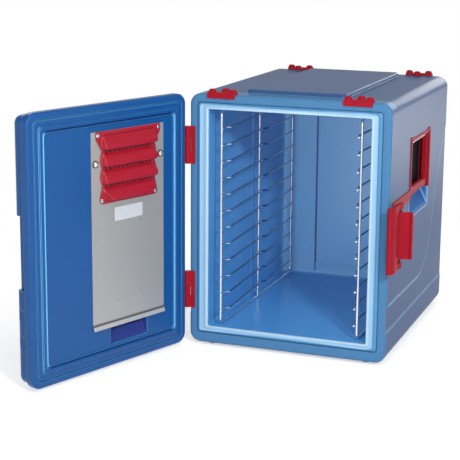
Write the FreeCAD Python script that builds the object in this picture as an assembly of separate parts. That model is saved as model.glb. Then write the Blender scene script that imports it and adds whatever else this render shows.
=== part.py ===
import FreeCAD, Part
import math
import os

# Front-loading insulated food transport box with a heated door, standing on rubber feet.
# Millimetres. X to the right, Y to the rear, Z up. The origin is the middle of the flat underside.

# Body: double-wall moulding, filled with foam
BODY_W = 480.0
BODY_D = 600.0
BODY_H = 597.0
CORNER_R = 25.0
FRONT_EDGE_R = 8.5
REAR_EDGE_R = 21.0
SHELL_T = 6.0
FIT = 0.2

# Loading mouth, its neck and the cavity behind it
MOUTH_SIDE = 46.0
MOUTH_BOTTOM = 42.0
MOUTH_TOP = 35.0
MOUTH_R = 4.0
NECK_D = 48.0
CAVITY_STEP_SIDE = 3.0
CAVITY_STEP_TOP = 6.0
CAVITY_R = 8.0
CAVITY_REAR_R = 7.0
REAR_WALL = 35.0
LINER_T = 4.0
BACK_PANEL_W = 206.0
BACK_PANEL_DEPTH = 4.0
BACK_PANEL_MARGIN = 28.0
SIDE_CHANNEL_W = 70.0
SIDE_CHANNEL_DEPTH = 3.0

# Seal round the mouth, seated in a rebate of the front rim
SEAL_W_SIDE = 26.0
SEAL_W_TOP = 15.0
SEAL_W_BOTTOM = 15.5
SEAL_T = 6.0
SEAL_PROUD = 0.5
SEAL_ROUND = 2.0
SEAL_OUTER_R = 8.0
SEAL_GROOVE = 1.0

# Top plateau and the sunk band on each side
PLATEAU_W = 238.0
PLATEAU_FRONT = 50.0
PLATEAU_REAR = 50.0
PLATEAU_H = 9.0
PLATEAU_R = 11.0
BAND_DEPTH = 3.0
BAND_SLOPE = 2.5
BAND_LOW_Z = 73.0
BAND_FRONT_Z = 131.0
BAND_CURVE = ((282.0, 127.0), (217.0, 149.0), (173.0, 196.0), (109.0, 341.0), (10.0, 478.0), (-2.0, 492.0))

# Stacking corners
STACK_INSET = 78.0
STACK_W = 68.0
STACK_LEDGE = 19.0
STACK_T = 4.5
STACK_LIP_DROP = 9.5
STACK_LIP_T = 3.0
STACK_PEG_R = 9.0
STACK_PEG_TOP = 11.5
STACK_PEG_DOME = 5.5
STACK_PEG_SPAN = 50.0
STACK_PEG_EDGE = 10.0
STACK_PEG_BACK = 20.0
STACK_LOBE = 2.0
STACK_CORNER_R = 2.0
STACK_ROUND = 1.2

# Rubber feet
FOOT_R = 12.0
FOOT_H = 6.0
FOOT_SEAT = 1.0
FOOT_CLEAR = 0.5
FOOT_STEM_R = 5.0
FOOT_STEM_H = 4.0
FOOT_INSET_X = 50.0
FOOT_INSET_Y = 31.0

# Wire racks
WIRE_R = 3.0
RAIL_R = 2.0
RACK_STANDOFF = 29.0
RACK_FRONT = 20.0
RACK_REAR_GAP = 20.0
RACK_TOP_GAP = 9.5
RACK_BEND_R = 13.0
RAIL_FIRST = 38.0
RAIL_PITCH = 39.7
RAIL_HEADROOM = 36.0
RAIL_JOG = 8.0
RAIL_NOSE = 10.0
RAIL_LEAD = 16.0
RAIL_JOG_RUN = 8.0
WELD_GAP = 0.05

# Bail handles in their trays
HANDLE_SETBACK = 290.5
HANDLE_Z = 416.5
TRAY_L = 193.0
TRAY_H = 141.0
TRAY_DEPTH = 24.0
TRAY_WALL = 3.0
TRAY_FLANGE = 3.5
TRAY_FLANGE_T = 2.5
RECESS_WALL = 4.0
SCOOP_DROP = 48.0
SCOOP_L = 193.0
BAIL_SIDE_GAP = 1.0
BAIL_ARM_W = 12.0
BAIL_ARM_T = 11.0
BAIL_GRIP_H = 20.0
BAIL_SINK = 3.0
BAIL_EYE_R = 9.0
BAIL_PIVOT_DROP = 9.0
HANDLE_PIN_R = 4.0
PIN_CLEAR = 0.05

# Door
DOOR_T = 53.0
SEAM = 4.0
DOOR_REST_OPEN = 110.0
DOOR_RIM = 15.0
DOOR_SKIN = 5.0
DOOR_STEP = 6.0
DOOR_OUTER_R = 13.0
DOOR_INNER_R = 4.5
DOOR_FLANGE_R = 2.5
PANEL_T = 5.0
PANEL_GROOVE = 3.0
PANEL_GROOVE_DEPTH = 3.0
BEAD_OUT = 30.0
BEAD_W = 10.0
BEAD_H = 3.0
GRIP_GROOVE_H = 22.0
GRIP_GROOVE_DEPTH = 3.0
GRIP_GROOVE_LOW = 90.0
GRIP_GROOVE_STEP = 59.0

# Hinges
HINGE_H = 88.0
HINGE_LOW = 85.0
HINGE_HIGH = 77.0
HINGE_OFFSET = 4.0
KNUCKLE_R = 7.0
KNUCKLE_END_H = 27.5
KNUCKLE_GAP = 0.5
HINGE_PIN_R = 2.2
LEAF_T = 3.0
LEAF_W = 14.0
DOOR_LEAF_REACH = 42.0
DOOR_LEAF_START = 9.0
LEAF_RELIEF = 1.0

# Draw latch on the right side
LATCH_Z = 296.0
LATCH_H = 150.0
LATCH_REST_OPEN = 50.0
LATCH_HOOK_TURN = 3.0
LEVER_PIVOT_U = 12.0
LEVER_PIVOT_V = 31.0
LEVER_CRANK = 9.0
LEVER_CRANK_CLOSED = 100.0
LEVER_H = 108.0
LEVER_BARREL_R = 6.0
LEVER_L = 28.0
LEVER_T = 4.0
LEVER_LIP = 9.0
LATCH_PIN_R = 2.5
CRANK_PIN_R = 2.0
LATCH_GAP = 0.5
EAR_H = 7.0
EAR_R = 6.4
EAR_WEB = 11.0
BASE_T = 2.5
BASE_START = 17.0
BASE_L = 48.0
STRIP_H = 24.0
HOOK_ARM_R = 5.5
HOOK_SHANK_U = 1.2
HOOK_T = 10.0
HOOK_ROUND = 3.0
HOOK_TIP_R = 4.0
HOOK_DRAFT = 1.0
HOOK_REAR = 14.0
NOSE_FACE = 26.0
NOSE_T = 9.0
NOSE_BITE = 6.0
NOTCH_DEPTH = 21.0
NOTCH_LEDGE_CLEAR = 0.6
NOTCH_END_CLEAR = 6.5
NOTCH_WALL = 4.0

# Heating unit on the inside of the door
PLATE_SHIFT = -50.0
PLATE_W = 225.0
PLATE_T = 1.5
PLATE_TOP = 59.0
PLATE_BOTTOM = 93.0
PLATE_FOLD = 13.0
PLATE_FOLD_RISE = 5.0
PLATE_R = 2.0
LOUVRE_W_TOP = 199.0
LOUVRE_W_WAIST = 163.0
LOUVRE_W_BOTTOM = 177.0
LOUVRE_H = 161.0
LOUVRE_FLANGE = 2.0
LOUVRE_SLATS = 4
LOUVRE_PITCH = 38.0
LOUVRE_HEAD = 11.0
HOOD_H = 33.0
HOOD_OUT = 14.0
HOOD_WALL = 2.2
HOOD_SIDE = 5.0
SCREW_HEAD_R = 4.8
SCREW_HEAD_H = 2.2
SCREW_SHANK_R = 1.7
SCREW_EAR = 8.0
SCREW_EDGE = 5.0
THUMB_R = 8.0
THUMB_H = 3.0
THUMB_WING_L = 13.0
THUMB_WING_T = 3.0
THUMB_WING_H = 5.0
THUMB_DROP = 70.0
THUMB_EDGE = 11.5
RIVET_R = 2.6
RIVET_H = 1.2
RIVET_SPAN = 72.0
RIVET_LOW = 51.5
RIVET_DROP = 9.5
BLANK_W = 86.0
BLANK_H = 31.0
BLANK_T = 0.8
BLANK_DROP = 13.0
BLANK_R = 2.0
DUCT_W = 166.0
DUCT_DEPTH = 30.0
DUCT_WALL = 3.0
DUCT_TOP_GAP = 18.0
DUCT_BOTTOM_GAP = 24.0
POCKET_W = 116.0
POCKET_DROP = 42.0
FAN_RISE = 100.0
FAN_R = 56.0
FAN_BLADES = 9
FAN_BLADE_T = 1.6
FAN_BLADE_H = 12.0
FAN_LEAD = 0.62
FAN_HUB_R = 14.0
FAN_DISC_T = 2.0
MOTOR_R = 24.0
MOTOR_H = 8.0
MOTOR_SHAFT_R = 2.5
HEATER_R = 3.2
HEATER_RISE = 188.0
HEATER_PITCH = 28.0
HEATER_PASSES = 5
HEATER_SPAN = 112.0
PROBE_R = 2.5
PROBE_L = 60.0

# Control recess on the outer face of the door
CONTROL_X = 106.0
CONTROL_Z = 364.0
CONTROL_W = 96.0
CONTROL_H = 164.0
CONTROL_DEPTH = 15.0
CONTROL_WALL = 3.0
CONTROL_R = 8.0
KNOB_R = 16.0
KNOB_H = 10.0
KNOB_RISE = 42.0
KNOB_SHAFT_R = 3.0
KNOB_SHAFT_L = 7.0
KNOB_ROUND = 1.5
POINTER_W = 4.0
POINTER_H = 2.0
SWITCH_L = 26.0
SWITCH_W = 16.0
SWITCH_DEPTH = 7.0
SWITCH_PIN_R = 1.5
SWITCH_SHIFT = 20.0
LAMP_R = 4.0
LAMP_H = 3.0
LAMP_RIM = 1.5
INLET_W = 30.0
INLET_H = 24.0
INLET_DEPTH = 18.0
INLET_WALL = 2.5
INLET_DROP = 48.0
INLET_PIN = 4.0
INLET_MOUTH = 9.0
INLET_R = 4.0
INLET_PIN_T = 2.0
INLET_PIN_SPAN = 7.0
INLET_PIN_DROP = 2.0
INLET_EARTH_RISE = 3.0

# Values that follow from the sizes above
Y_FRONT = -BODY_D / 2
Y_REAR = BODY_D / 2
HALF_W = BODY_W / 2
MOUTH_X = HALF_W - MOUTH_SIDE
MOUTH_Z0 = MOUTH_BOTTOM
MOUTH_Z1 = BODY_H - MOUTH_TOP
CAVITY_X = MOUTH_X + CAVITY_STEP_SIDE
CAVITY_Z0 = MOUTH_Z0
CAVITY_Z1 = MOUTH_Z1 + CAVITY_STEP_TOP
CAVITY_V1 = BODY_D - REAR_WALL
RACK_X = CAVITY_X - RACK_STANDOFF
RACK_Z0 = CAVITY_Z0 + FIT + WIRE_R
RACK_Z1 = CAVITY_Z1 - RACK_TOP_GAP
RACK_Y0 = Y_FRONT + RACK_FRONT
RACK_Y1 = Y_FRONT + CAVITY_V1 - RACK_REAR_GAP
RACK_YM = (RACK_Y0 + RACK_Y1) / 2
RAIL_Z0 = CAVITY_Z0 + RAIL_FIRST
RAIL_COUNT = int((CAVITY_Z1 - RAIL_HEADROOM - RAIL_Z0) / RAIL_PITCH) + 1
HANDLE_Y = Y_FRONT + HANDLE_SETBACK
PIVOT_Z = HANDLE_Z + TRAY_H / 2 - BAIL_PIVOT_DROP
HINGE_X = -HALF_W - HINGE_OFFSET
HINGE_Y = Y_FRONT - SEAM / 2
HINGE_ZS = {"upper": BODY_H - HINGE_HIGH - HINGE_H / 2, "lower": HINGE_LOW + HINGE_H / 2}
DOOR_FLANGE_T = NOSE_FACE - NOTCH_LEDGE_CLEAR - SEAM
TRAY_EAR_W = 2 * TRAY_WALL + 2 * BAIL_SIDE_GAP + BAIL_ARM_W
TRAY_EAR_Z = PIVOT_Z + BAIL_EYE_R + BAIL_SIDE_GAP + TRAY_WALL
PLATE_Z0 = PLATE_BOTTOM
PLATE_Z1 = BODY_H - PLATE_TOP
DUCT_Z0 = PLATE_Z0 + DUCT_BOTTOM_GAP
DUCT_Z1 = PLATE_Z1 - DUCT_TOP_GAP
FAN_Z = DUCT_Z0 + FAN_RISE

X_AXIS = FreeCAD.Vector(1, 0, 0)
Y_AXIS = FreeCAD.Vector(0, 1, 0)
Z_AXIS = FreeCAD.Vector(0, 0, 1)


def vec(x, y, z):
    return FreeCAD.Vector(x, y, z)


def block(low, high):
    """Box between two opposite corners."""
    return Part.makeBox(high[0] - low[0], high[1] - low[1], high[2] - low[2], vec(*low))


def rod(start, end, radius):
    """Round bar between two points."""
    a, b = vec(*start), vec(*end)
    return Part.makeCylinder(radius, (b - a).Length, a, b - a)


def edges_along(shape, axis):
    """Straight edges that run along the given axis."""
    found = []
    for edge in shape.Edges:
        if isinstance(edge.Curve, Part.Line):
            run = edge.Vertexes[-1].Point - edge.Vertexes[0].Point
            if run.Length > 0 and run.cross(axis).Length < 1e-6 * run.Length:
                found.append(edge)
    return found


def edges_on(shape, pick, value):
    """Edges whose whole length lies at one value of the picked coordinate."""
    low, high = {"x": ("XMin", "XMax"), "y": ("YMin", "YMax"), "z": ("ZMin", "ZMax")}[pick]
    found = []
    for edge in shape.Edges:
        bounds = edge.BoundBox
        if abs(getattr(bounds, low) - value) < 1e-3 and abs(getattr(bounds, high) - value) < 1e-3:
            found.append(edge)
    return found


def slab(low, high, radius, axis):
    """Box whose four edges along the axis are rounded."""
    shape = block(low, high)
    return shape.makeFillet(radius, edges_along(shape, axis))


def soften(shape, radius, pick, value):
    """Round the edges that lie in one plane."""
    return shape.makeFillet(radius, edges_on(shape, pick, value))


def outline_face(points):
    """Flat face from straight runs and arcs: an arc is given by its middle and end point."""
    edges = []
    last = points[0]
    for step in points[1:] + [points[0]]:
        if isinstance(step[0], FreeCAD.Vector):
            edges.append(Part.Arc(last, step[0], step[1]).toShape())
            last = step[1]
        else:
            if (step - last).Length > 1e-6:
                edges.append(Part.makeLine(last, step))
            last = step
    return Part.Face(Part.Wire(edges))


def wire_path(points, radius):
    """Bent round wire through the points, with mitred bends."""
    corners = [vec(*point) for point in points]
    path = Part.makePolygon(corners)
    circle = Part.makeCircle(radius, corners[0], corners[1] - corners[0])
    return path.makePipeShell([Part.Wire([circle])], True, False, 1)


def mirrored(shape):
    return shape.mirror(vec(0, 0, 0), X_AXIS)


def sided(shape, side):
    """A right-hand piece as it is, or its mirror image on the left."""
    return shape if side == "right" else mirrored(shape)


def door_y(depth):
    """Y of a plane of the closed door, by its depth behind the door's inner rim face."""
    return Y_FRONT - SEAM - depth


def swung(shape):
    """A piece of the door, turned from the closed door to the open rest position."""
    turned = shape.copy()
    turned.rotate(vec(HINGE_X, HINGE_Y, 0), Z_AXIS, -DOOR_REST_OPEN)
    return turned


def keep(name, shape):
    shape.exportStep("parts/" + name + ".step")


def mouth_prism(grow, v0, v1, radius):
    """Mouth outline grown by a margin on every side, between two depths behind the front face."""
    return slab((-MOUTH_X - grow, Y_FRONT + v0, MOUTH_Z0 - grow),
                (MOUTH_X + grow, Y_FRONT + v1, MOUTH_Z1 + grow), radius, Y_AXIS)


def cavity_prism(grow, v0, v1):
    """Cavity outline grown by a margin on every side."""
    return slab((-CAVITY_X - grow, Y_FRONT + v0, CAVITY_Z0 - grow),
                (CAVITY_X + grow, Y_FRONT + v1, CAVITY_Z1 + grow), CAVITY_R + grow, Y_AXIS)


def seal_outline(grow, v0, v1):
    """Outer outline of the seal, between two depths behind the front face."""
    return slab((-MOUTH_X - SEAL_W_SIDE - grow, Y_FRONT + v0, MOUTH_Z0 - SEAL_W_BOTTOM - grow),
                (MOUTH_X + SEAL_W_SIDE + grow, Y_FRONT + v1, MOUTH_Z1 + SEAL_W_TOP + grow),
                SEAL_OUTER_R + grow, Y_AXIS)


def liner_bulges(grow):
    """Sunk middle panel of the rear wall and the shallow upright channel in each side wall."""
    half, wall = BACK_PANEL_W / 2 + grow, Y_FRONT + CAVITY_V1
    rear = slab((-half, wall - LINER_T, CAVITY_Z0 + BACK_PANEL_MARGIN - grow),
                (half, wall + BACK_PANEL_DEPTH + grow, CAVITY_Z1 - BACK_PANEL_MARGIN + grow),
                CAVITY_R, Y_AXIS)
    reach = CAVITY_X + SIDE_CHANNEL_DEPTH + grow
    sides = block((-reach, RACK_YM - SIDE_CHANNEL_W / 2 - grow, CAVITY_Z0 + CAVITY_R),
                  (reach, RACK_YM + SIDE_CHANNEL_W / 2 + grow, CAVITY_Z1 - CAVITY_R))
    return rear.fuse(sides)


def liner_outer():
    flange = seal_outline(SEAL_GROOVE - FIT, SEAL_T, SEAL_T + LINER_T)
    neck = mouth_prism(LINER_T, SEAL_T, NECK_D, MOUTH_R + LINER_T)
    cavity = cavity_prism(LINER_T, NECK_D - LINER_T, CAVITY_V1 + LINER_T)
    return flange.multiFuse([neck, cavity, liner_bulges(LINER_T)])


def liner_inner():
    neck = mouth_prism(0, 0, NECK_D + LINER_T, MOUTH_R)
    cavity = soften(cavity_prism(0, NECK_D, CAVITY_V1), CAVITY_REAR_R, "y", Y_FRONT + CAVITY_V1)
    return neck.multiFuse([cavity, liner_bulges(0)])


def tray_recess(grow):
    """Handle recess in the right side wall, with the sloping finger scoop under it."""
    half = TRAY_L / 2 + FIT + grow
    low = HANDLE_Z - TRAY_H / 2 - grow
    high = HANDLE_Z + TRAY_H / 2 + FIT + grow
    depth = HALF_W - TRAY_DEPTH - grow
    pocket = block((depth, HANDLE_Y - half, low), (HALF_W + 1, HANDLE_Y + half, high))
    ear_w = TRAY_EAR_W + FIT + 2 * grow
    ears = [block((depth, y, high - 1), (HALF_W + 1, y + ear_w, TRAY_EAR_Z + FIT + grow))
            for y in (HANDLE_Y - half, HANDLE_Y + half - ear_w)]
    scoop = outline_face([vec(depth, HANDLE_Y - SCOOP_L / 2 - grow, low + 1),
                          vec(depth, HANDLE_Y - SCOOP_L / 2 - grow, low),
                          vec(HALF_W + 1, HANDLE_Y - SCOOP_L / 2 - grow, low - SCOOP_DROP),
                          vec(HALF_W + 1, HANDLE_Y - SCOOP_L / 2 - grow, low + 1)])
    return pocket.multiFuse(ears + [scoop.extrude(vec(0, SCOOP_L + 2 * grow, 0))])


def foam_space():
    """Room for the foam: inside the outer wall, round the handle recesses."""
    space = slab((-HALF_W + SHELL_T, Y_FRONT + SHELL_T, SHELL_T),
                 (HALF_W - SHELL_T, Y_REAR - SHELL_T, BODY_H - SHELL_T), CORNER_R - SHELL_T, Y_AXIS)
    space = soften(space, REAR_EDGE_R - SHELL_T, "y", Y_REAR - SHELL_T)
    space = soften(space, FRONT_EDGE_R - SHELL_T, "y", Y_FRONT + SHELL_T)
    recess = tray_recess(RECESS_WALL)
    return space.cut(recess).cut(mirrored(recess))


def band_wire(x, spread):
    """Outline of the right side band at one depth, spread outwards along its two long edges."""
    past = BAND_DEPTH + 1
    bend = [vec(x, Y_REAR - reach - spread, z + spread) for reach, z in BAND_CURVE]
    sweep = Part.BSplineCurve()
    sweep.interpolate(bend)
    low, front = BAND_LOW_Z - spread, Y_FRONT - past
    corners = [bend[-1], vec(x, Y_REAR + past, bend[-1].z), vec(x, Y_REAR + past, low), vec(x, front, low),
               vec(x, front, BAND_FRONT_Z + spread), bend[0]]
    return Part.Wire([sweep.toShape()] + [Part.makeLine(a, b) for a, b in zip(corners, corners[1:])])


def side_band():
    """Sunk band on the right side with sloped edges: level at the front, sweeping up to the rear edge."""
    out = HALF_W + BAND_DEPTH
    return Part.makeLoft([band_wire(HALF_W - BAND_DEPTH, 0.0), band_wire(out, 2 * BAND_SLOPE)], True, True)


def foot_places():
    for depth, y in (("front", Y_FRONT + FOOT_INSET_Y), ("rear", Y_REAR - FOOT_INSET_Y)):
        for side, sign in (("left", -1), ("right", 1)):
            yield depth + "_" + side, sign * (HALF_W - FOOT_INSET_X), y


def knuckle_room(z):
    """Round relief for a hinge's knuckles in the edges of the body and the door."""
    half = HINGE_H / 2 + LEAF_RELIEF
    return rod((HINGE_X, HINGE_Y, z - half), (HINGE_X, HINGE_Y, z + half), KNUCKLE_R + LEAF_RELIEF)


def make_outer_shell():
    shell = slab((-HALF_W, Y_FRONT, 0), (HALF_W, Y_REAR, BODY_H), CORNER_R, Y_AXIS)
    shell = soften(shell, FRONT_EDGE_R, "y", Y_FRONT)
    shell = soften(shell, REAR_EDGE_R, "y", Y_REAR)
    plateau = slab((-PLATEAU_W / 2, Y_FRONT + PLATEAU_FRONT, BODY_H - SHELL_T),
                   (PLATEAU_W / 2, Y_REAR - PLATEAU_REAR, BODY_H + PLATEAU_H), PLATEAU_R, Z_AXIS)
    plateau = soften(plateau, PLATEAU_H / 2, "z", BODY_H + PLATEAU_H)
    shell = shell.fuse(plateau)
    band = side_band()
    recess = tray_recess(0)
    cuts = [band, mirrored(band), recess, mirrored(recess), foam_space(),
            seal_outline(SEAL_GROOVE, -1, SHELL_T + 1)]
    for z in HINGE_ZS.values():
        half = HINGE_H / 2 + FIT
        cuts.append(block((-HALF_W - 1, Y_FRONT - 1, z - half),
                          (-HALF_W + LEAF_W + FIT, Y_FRONT + LEAF_T, z + half)))
        cuts.append(knuckle_room(z))
    for _, x, y in foot_places():
        cuts.append(rod((x, y, -1), (x, y, FOOT_SEAT), FOOT_R + FOOT_CLEAR))
        cuts.append(rod((x, y, -1), (x, y, FOOT_SEAT + FOOT_STEM_H + FIT), FOOT_STEM_R + FIT))
    return shell.cut(cuts)


def make_seal():
    seal = seal_outline(0, -SEAL_PROUD, SEAL_T).cut(mouth_prism(0, -1, SEAL_T + 1, MOUTH_R))
    return soften(seal, SEAL_ROUND, "y", Y_FRONT - SEAL_PROUD)


def make_foot(x, y):
    pad = Part.makeCylinder(FOOT_R, FOOT_H + FOOT_SEAT, vec(x, y, -FOOT_H))
    pad = soften(pad, FOOT_H / 4, "z", -FOOT_H)
    return pad.fuse(rod((x, y, -1), (x, y, FOOT_SEAT + FOOT_STEM_H), FOOT_STEM_R))


def make_stacking_corner(edge_r):
    """Corner piece on the front right: ledge plate, lip over the rounded edge and three domed pegs."""
    x = HALF_W - STACK_INSET
    top = BODY_H + STACK_T
    front = Y_FRONT - STACK_LIP_T
    ledge = slab((x - STACK_W / 2, front, BODY_H), (x + STACK_W / 2, Y_FRONT + STACK_LEDGE, top),
                 STACK_CORNER_R, Z_AXIS)
    ledge = soften(ledge, STACK_ROUND, "z", top)
    lobe_r = STACK_PEG_R + STACK_LOBE
    lobe_y = Y_FRONT + STACK_PEG_EDGE + STACK_PEG_BACK
    lobe = soften(Part.makeCylinder(lobe_r, STACK_T, vec(x, lobe_y, BODY_H)), STACK_ROUND, "z", top)
    neck = block((x - lobe_r, Y_FRONT + STACK_PEG_EDGE, BODY_H), (x + lobe_r, lobe_y, top))
    lip = slab((x - STACK_W / 2, front, BODY_H - STACK_LIP_DROP),
               (x + STACK_W / 2, Y_FRONT, BODY_H + STACK_T / 2), STACK_CORNER_R, Y_AXIS)
    lip = soften(lip, STACK_ROUND, "y", front)
    edge = block((x - STACK_W / 2 + STACK_CORNER_R, Y_FRONT - 1, BODY_H - min(edge_r, STACK_LIP_DROP)),
                 (x + STACK_W / 2 - STACK_CORNER_R, Y_FRONT + edge_r, BODY_H + STACK_T / 2))
    body = slab((-HALF_W, Y_FRONT, 0), (HALF_W, Y_REAR, BODY_H), CORNER_R, Y_AXIS)
    edge = edge.cut(soften(body, edge_r, "y", Y_FRONT))
    pegs = []
    for dx, dv in ((-STACK_PEG_SPAN / 2, 0), (STACK_PEG_SPAN / 2, 0), (0, STACK_PEG_BACK)):
        peg = Part.makeCylinder(STACK_PEG_R, STACK_PEG_TOP - STACK_T + 1,
                                vec(x + dx, Y_FRONT + STACK_PEG_EDGE + dv, top - 1))
        pegs.append(soften(peg, STACK_PEG_DOME, "z", BODY_H + STACK_PEG_TOP))
    return ledge.multiFuse([lobe, neck, lip, edge] + pegs).removeSplitter()


def bent_wire(x, z, up):
    """Level frame wire of a rack, its ends bent down at the top (up = 1) or up at the bottom (up = -1)."""
    r = RACK_BEND_R
    bend = r - r / math.sqrt(2)
    side = z - up * r
    p = lambda y, height: vec(x, y, height)
    edges = [Part.Arc(p(RACK_Y0, side), p(RACK_Y0 + bend, z - up * bend), p(RACK_Y0 + r, z)).toShape(),
             Part.makeLine(p(RACK_Y0 + r, z), p(RACK_Y1 - r, z)),
             Part.Arc(p(RACK_Y1 - r, z), p(RACK_Y1 - bend, z - up * bend), p(RACK_Y1, side)).toShape()]
    circle = Part.makeCircle(WIRE_R, p(RACK_Y0, side), Z_AXIS)
    return Part.Wire(edges).makePipeShell([Part.Wire([circle])], True, False)


def make_rack(sign):
    """Rack on one side: bent wire frame, a middle upright and welded sawtooth rails."""
    low, high = RACK_Z0, RACK_Z1
    r = RACK_BEND_R
    y0, y1 = RACK_Y0, RACK_Y1
    x = sign * RACK_X
    weld = WIRE_R + WELD_GAP
    frame = [bent_wire(x, high, 1), bent_wire(x, low, -1)]
    frame += [rod((x, y, low + r), (x, y, high - r), WIRE_R) for y in (y0, y1)]
    frame.append(rod((x, RACK_YM, low + weld), (x, RACK_YM, high - weld), WIRE_R))
    base = x - sign * (WIRE_R + RAIL_R + WELD_GAP)
    inner = base - sign * RAIL_JOG
    jog = RAIL_LEAD + RAIL_JOG_RUN
    rails = []
    for level in range(RAIL_COUNT):
        z = RAIL_Z0 + level * RAIL_PITCH
        rails.append(wire_path([(base, y0 - RAIL_NOSE, z), (base, y0 + RAIL_LEAD, z), (inner, y0 + jog, z),
                                (base, RACK_YM - RAIL_NOSE, z), (base, RACK_YM + RAIL_LEAD, z),
                                (inner, RACK_YM + jog, z), (base, y1 - RAIL_NOSE, z),
                                (base, y1 + RAIL_NOSE, z)], RAIL_R))
    return Part.makeCompound(frame + rails)


def make_tray():
    """Right-hand handle tray: flanged frame open below and behind, with bearing holes for the pin."""
    half, depth = TRAY_L / 2, HALF_W - TRAY_DEPTH
    low, high = HANDLE_Z - TRAY_H / 2, HANDLE_Z + TRAY_H / 2
    face, edge = HALF_W + TRAY_FLANGE_T, TRAY_FLANGE
    solids = [block((depth, HANDLE_Y - half, low), (face, HANDLE_Y + half, high)),
              slab((HALF_W, HANDLE_Y - half - edge, low), (face, HANDLE_Y + half + edge, high + edge),
                   TRAY_WALL, X_AXIS)]
    inside = [block((depth - 1, HANDLE_Y - half + TRAY_WALL, low - 1),
                    (face + 1, HANDLE_Y + half - TRAY_WALL, high - TRAY_WALL))]
    for y, lead in ((HANDLE_Y - half, edge), (HANDLE_Y + half - TRAY_EAR_W, 0)):
        solids.append(block((depth, y, low), (face, y + TRAY_EAR_W, TRAY_EAR_Z)))
        solids.append(slab((HALF_W, y - lead, low), (face, y + TRAY_EAR_W + edge - lead, TRAY_EAR_Z + edge),
                           TRAY_WALL, X_AXIS))
        inside.append(block((depth - 1, y + TRAY_WALL, low - 1),
                            (face + 1, y + TRAY_EAR_W - TRAY_WALL, TRAY_EAR_Z - TRAY_WALL)))
    x = HALF_W - BAIL_SINK - BAIL_ARM_T / 2
    hole = rod((x, HANDLE_Y - half - 1, PIVOT_Z), (x, HANDLE_Y + half + 1, PIVOT_Z), HANDLE_PIN_R + PIN_CLEAR)
    return solids[0].multiFuse(solids[1:]).cut(inside + [hole]).removeSplitter()


def make_handle_pin():
    half = TRAY_L / 2
    x = HALF_W - BAIL_SINK - BAIL_ARM_T / 2
    return rod((x, HANDLE_Y - half, PIVOT_Z), (x, HANDLE_Y + half, PIVOT_Z), HANDLE_PIN_R)


def make_bail():
    """Right-hand bail: two arms with pin eyes, and a rounded grip across their lower ends."""
    half = TRAY_L / 2 - TRAY_WALL - BAIL_SIDE_GAP
    x1 = HALF_W - BAIL_SINK
    x0 = x1 - BAIL_ARM_T
    low = HANDLE_Z - TRAY_H / 2 + BAIL_SINK
    grip = slab((x0 - BAIL_ARM_T / 4, HANDLE_Y - half, low),
                (x1, HANDLE_Y + half, low + BAIL_GRIP_H), BAIL_ARM_T * 0.45, Y_AXIS)
    pieces = []
    for y in (HANDLE_Y - half, HANDLE_Y + half - BAIL_ARM_W):
        pieces.append(block((x0, y, low + BAIL_GRIP_H / 2), (x1, y + BAIL_ARM_W, PIVOT_Z)))
        pieces.append(rod((x0 + BAIL_ARM_T / 2, y, PIVOT_Z), (x0 + BAIL_ARM_T / 2, y + BAIL_ARM_W, PIVOT_Z),
                          BAIL_EYE_R))
    x = x0 + BAIL_ARM_T / 2
    hole = rod((x, HANDLE_Y - half - 1, PIVOT_Z), (x, HANDLE_Y + half + 1, PIVOT_Z), HANDLE_PIN_R + PIN_CLEAR)
    return grip.multiFuse(pieces).cut(hole).removeSplitter()


def make_body_leaf(z):
    """Body half of a hinge: leaf in the front rim and the two outer knuckles."""
    half, mid = HINGE_H / 2, HINGE_H / 2 - KNUCKLE_END_H
    front = HINGE_Y + PIN_CLEAR
    leaf = block((HINGE_X, front, z - half), (-HALF_W + LEAF_W, Y_FRONT + LEAF_T, z + half))
    knuckle = rod((HINGE_X, HINGE_Y, z - half), (HINGE_X, HINGE_Y, z + half), KNUCKLE_R)
    body = leaf.fuse(knuckle)
    sweep = rod((HINGE_X, HINGE_Y, z - mid), (HINGE_X, HINGE_Y, z + mid), KNUCKLE_R + LEAF_RELIEF)
    slot = block((HINGE_X - KNUCKLE_R - 1, HINGE_Y - KNUCKLE_R - 1, z - mid),
                 (HINGE_X + KNUCKLE_R + LEAF_RELIEF, Y_FRONT + LEAF_T + 1, z + mid))
    bore = rod((HINGE_X, HINGE_Y, z - half - 1), (HINGE_X, HINGE_Y, z + half + 1), HINGE_PIN_R + PIN_CLEAR)
    return body.cut([sweep, slot, bore]).removeSplitter()


def make_door_leaf(z):
    """Door half of a hinge: middle knuckle and a leaf let into the door's hinge edge."""
    half = HINGE_H / 2 - KNUCKLE_END_H - KNUCKLE_GAP
    tall = HINGE_H / 2 - 1
    knuckle = rod((HINGE_X, HINGE_Y, z - half), (HINGE_X, HINGE_Y, z + half), KNUCKLE_R)
    arm = block((HINGE_X, door_y(DOOR_LEAF_START + LEAF_T), z - half),
                (-HALF_W, HINGE_Y, z + half))
    leaf = block((-HALF_W - LEAF_T / 3, door_y(DOOR_LEAF_REACH), z - tall),
                 (-HALF_W + LEAF_T - FIT, door_y(DOOR_LEAF_START), z + tall))
    bore = rod((HINGE_X, HINGE_Y, z - half - 1), (HINGE_X, HINGE_Y, z + half + 1), HINGE_PIN_R + PIN_CLEAR)
    return knuckle.multiFuse([arm, leaf]).cut(bore).removeSplitter()


def make_hinge_pin(z):
    half = HINGE_H / 2
    return rod((HINGE_X, HINGE_Y, z - half), (HINGE_X, HINGE_Y, z + half), HINGE_PIN_R)


def latch_point(u, v, z):
    """Point by its distance out from the right side and back from the front face."""
    return vec(HALF_W + u, Y_FRONT + v, z)


def crank_place(opened):
    """Crank pin (u, v) with the lever opened by an angle from closed."""
    way = math.radians(LEVER_CRANK_CLOSED - opened)
    return LEVER_PIVOT_U + LEVER_CRANK * math.cos(way), LEVER_PIVOT_V + LEVER_CRANK * math.sin(way)


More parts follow.
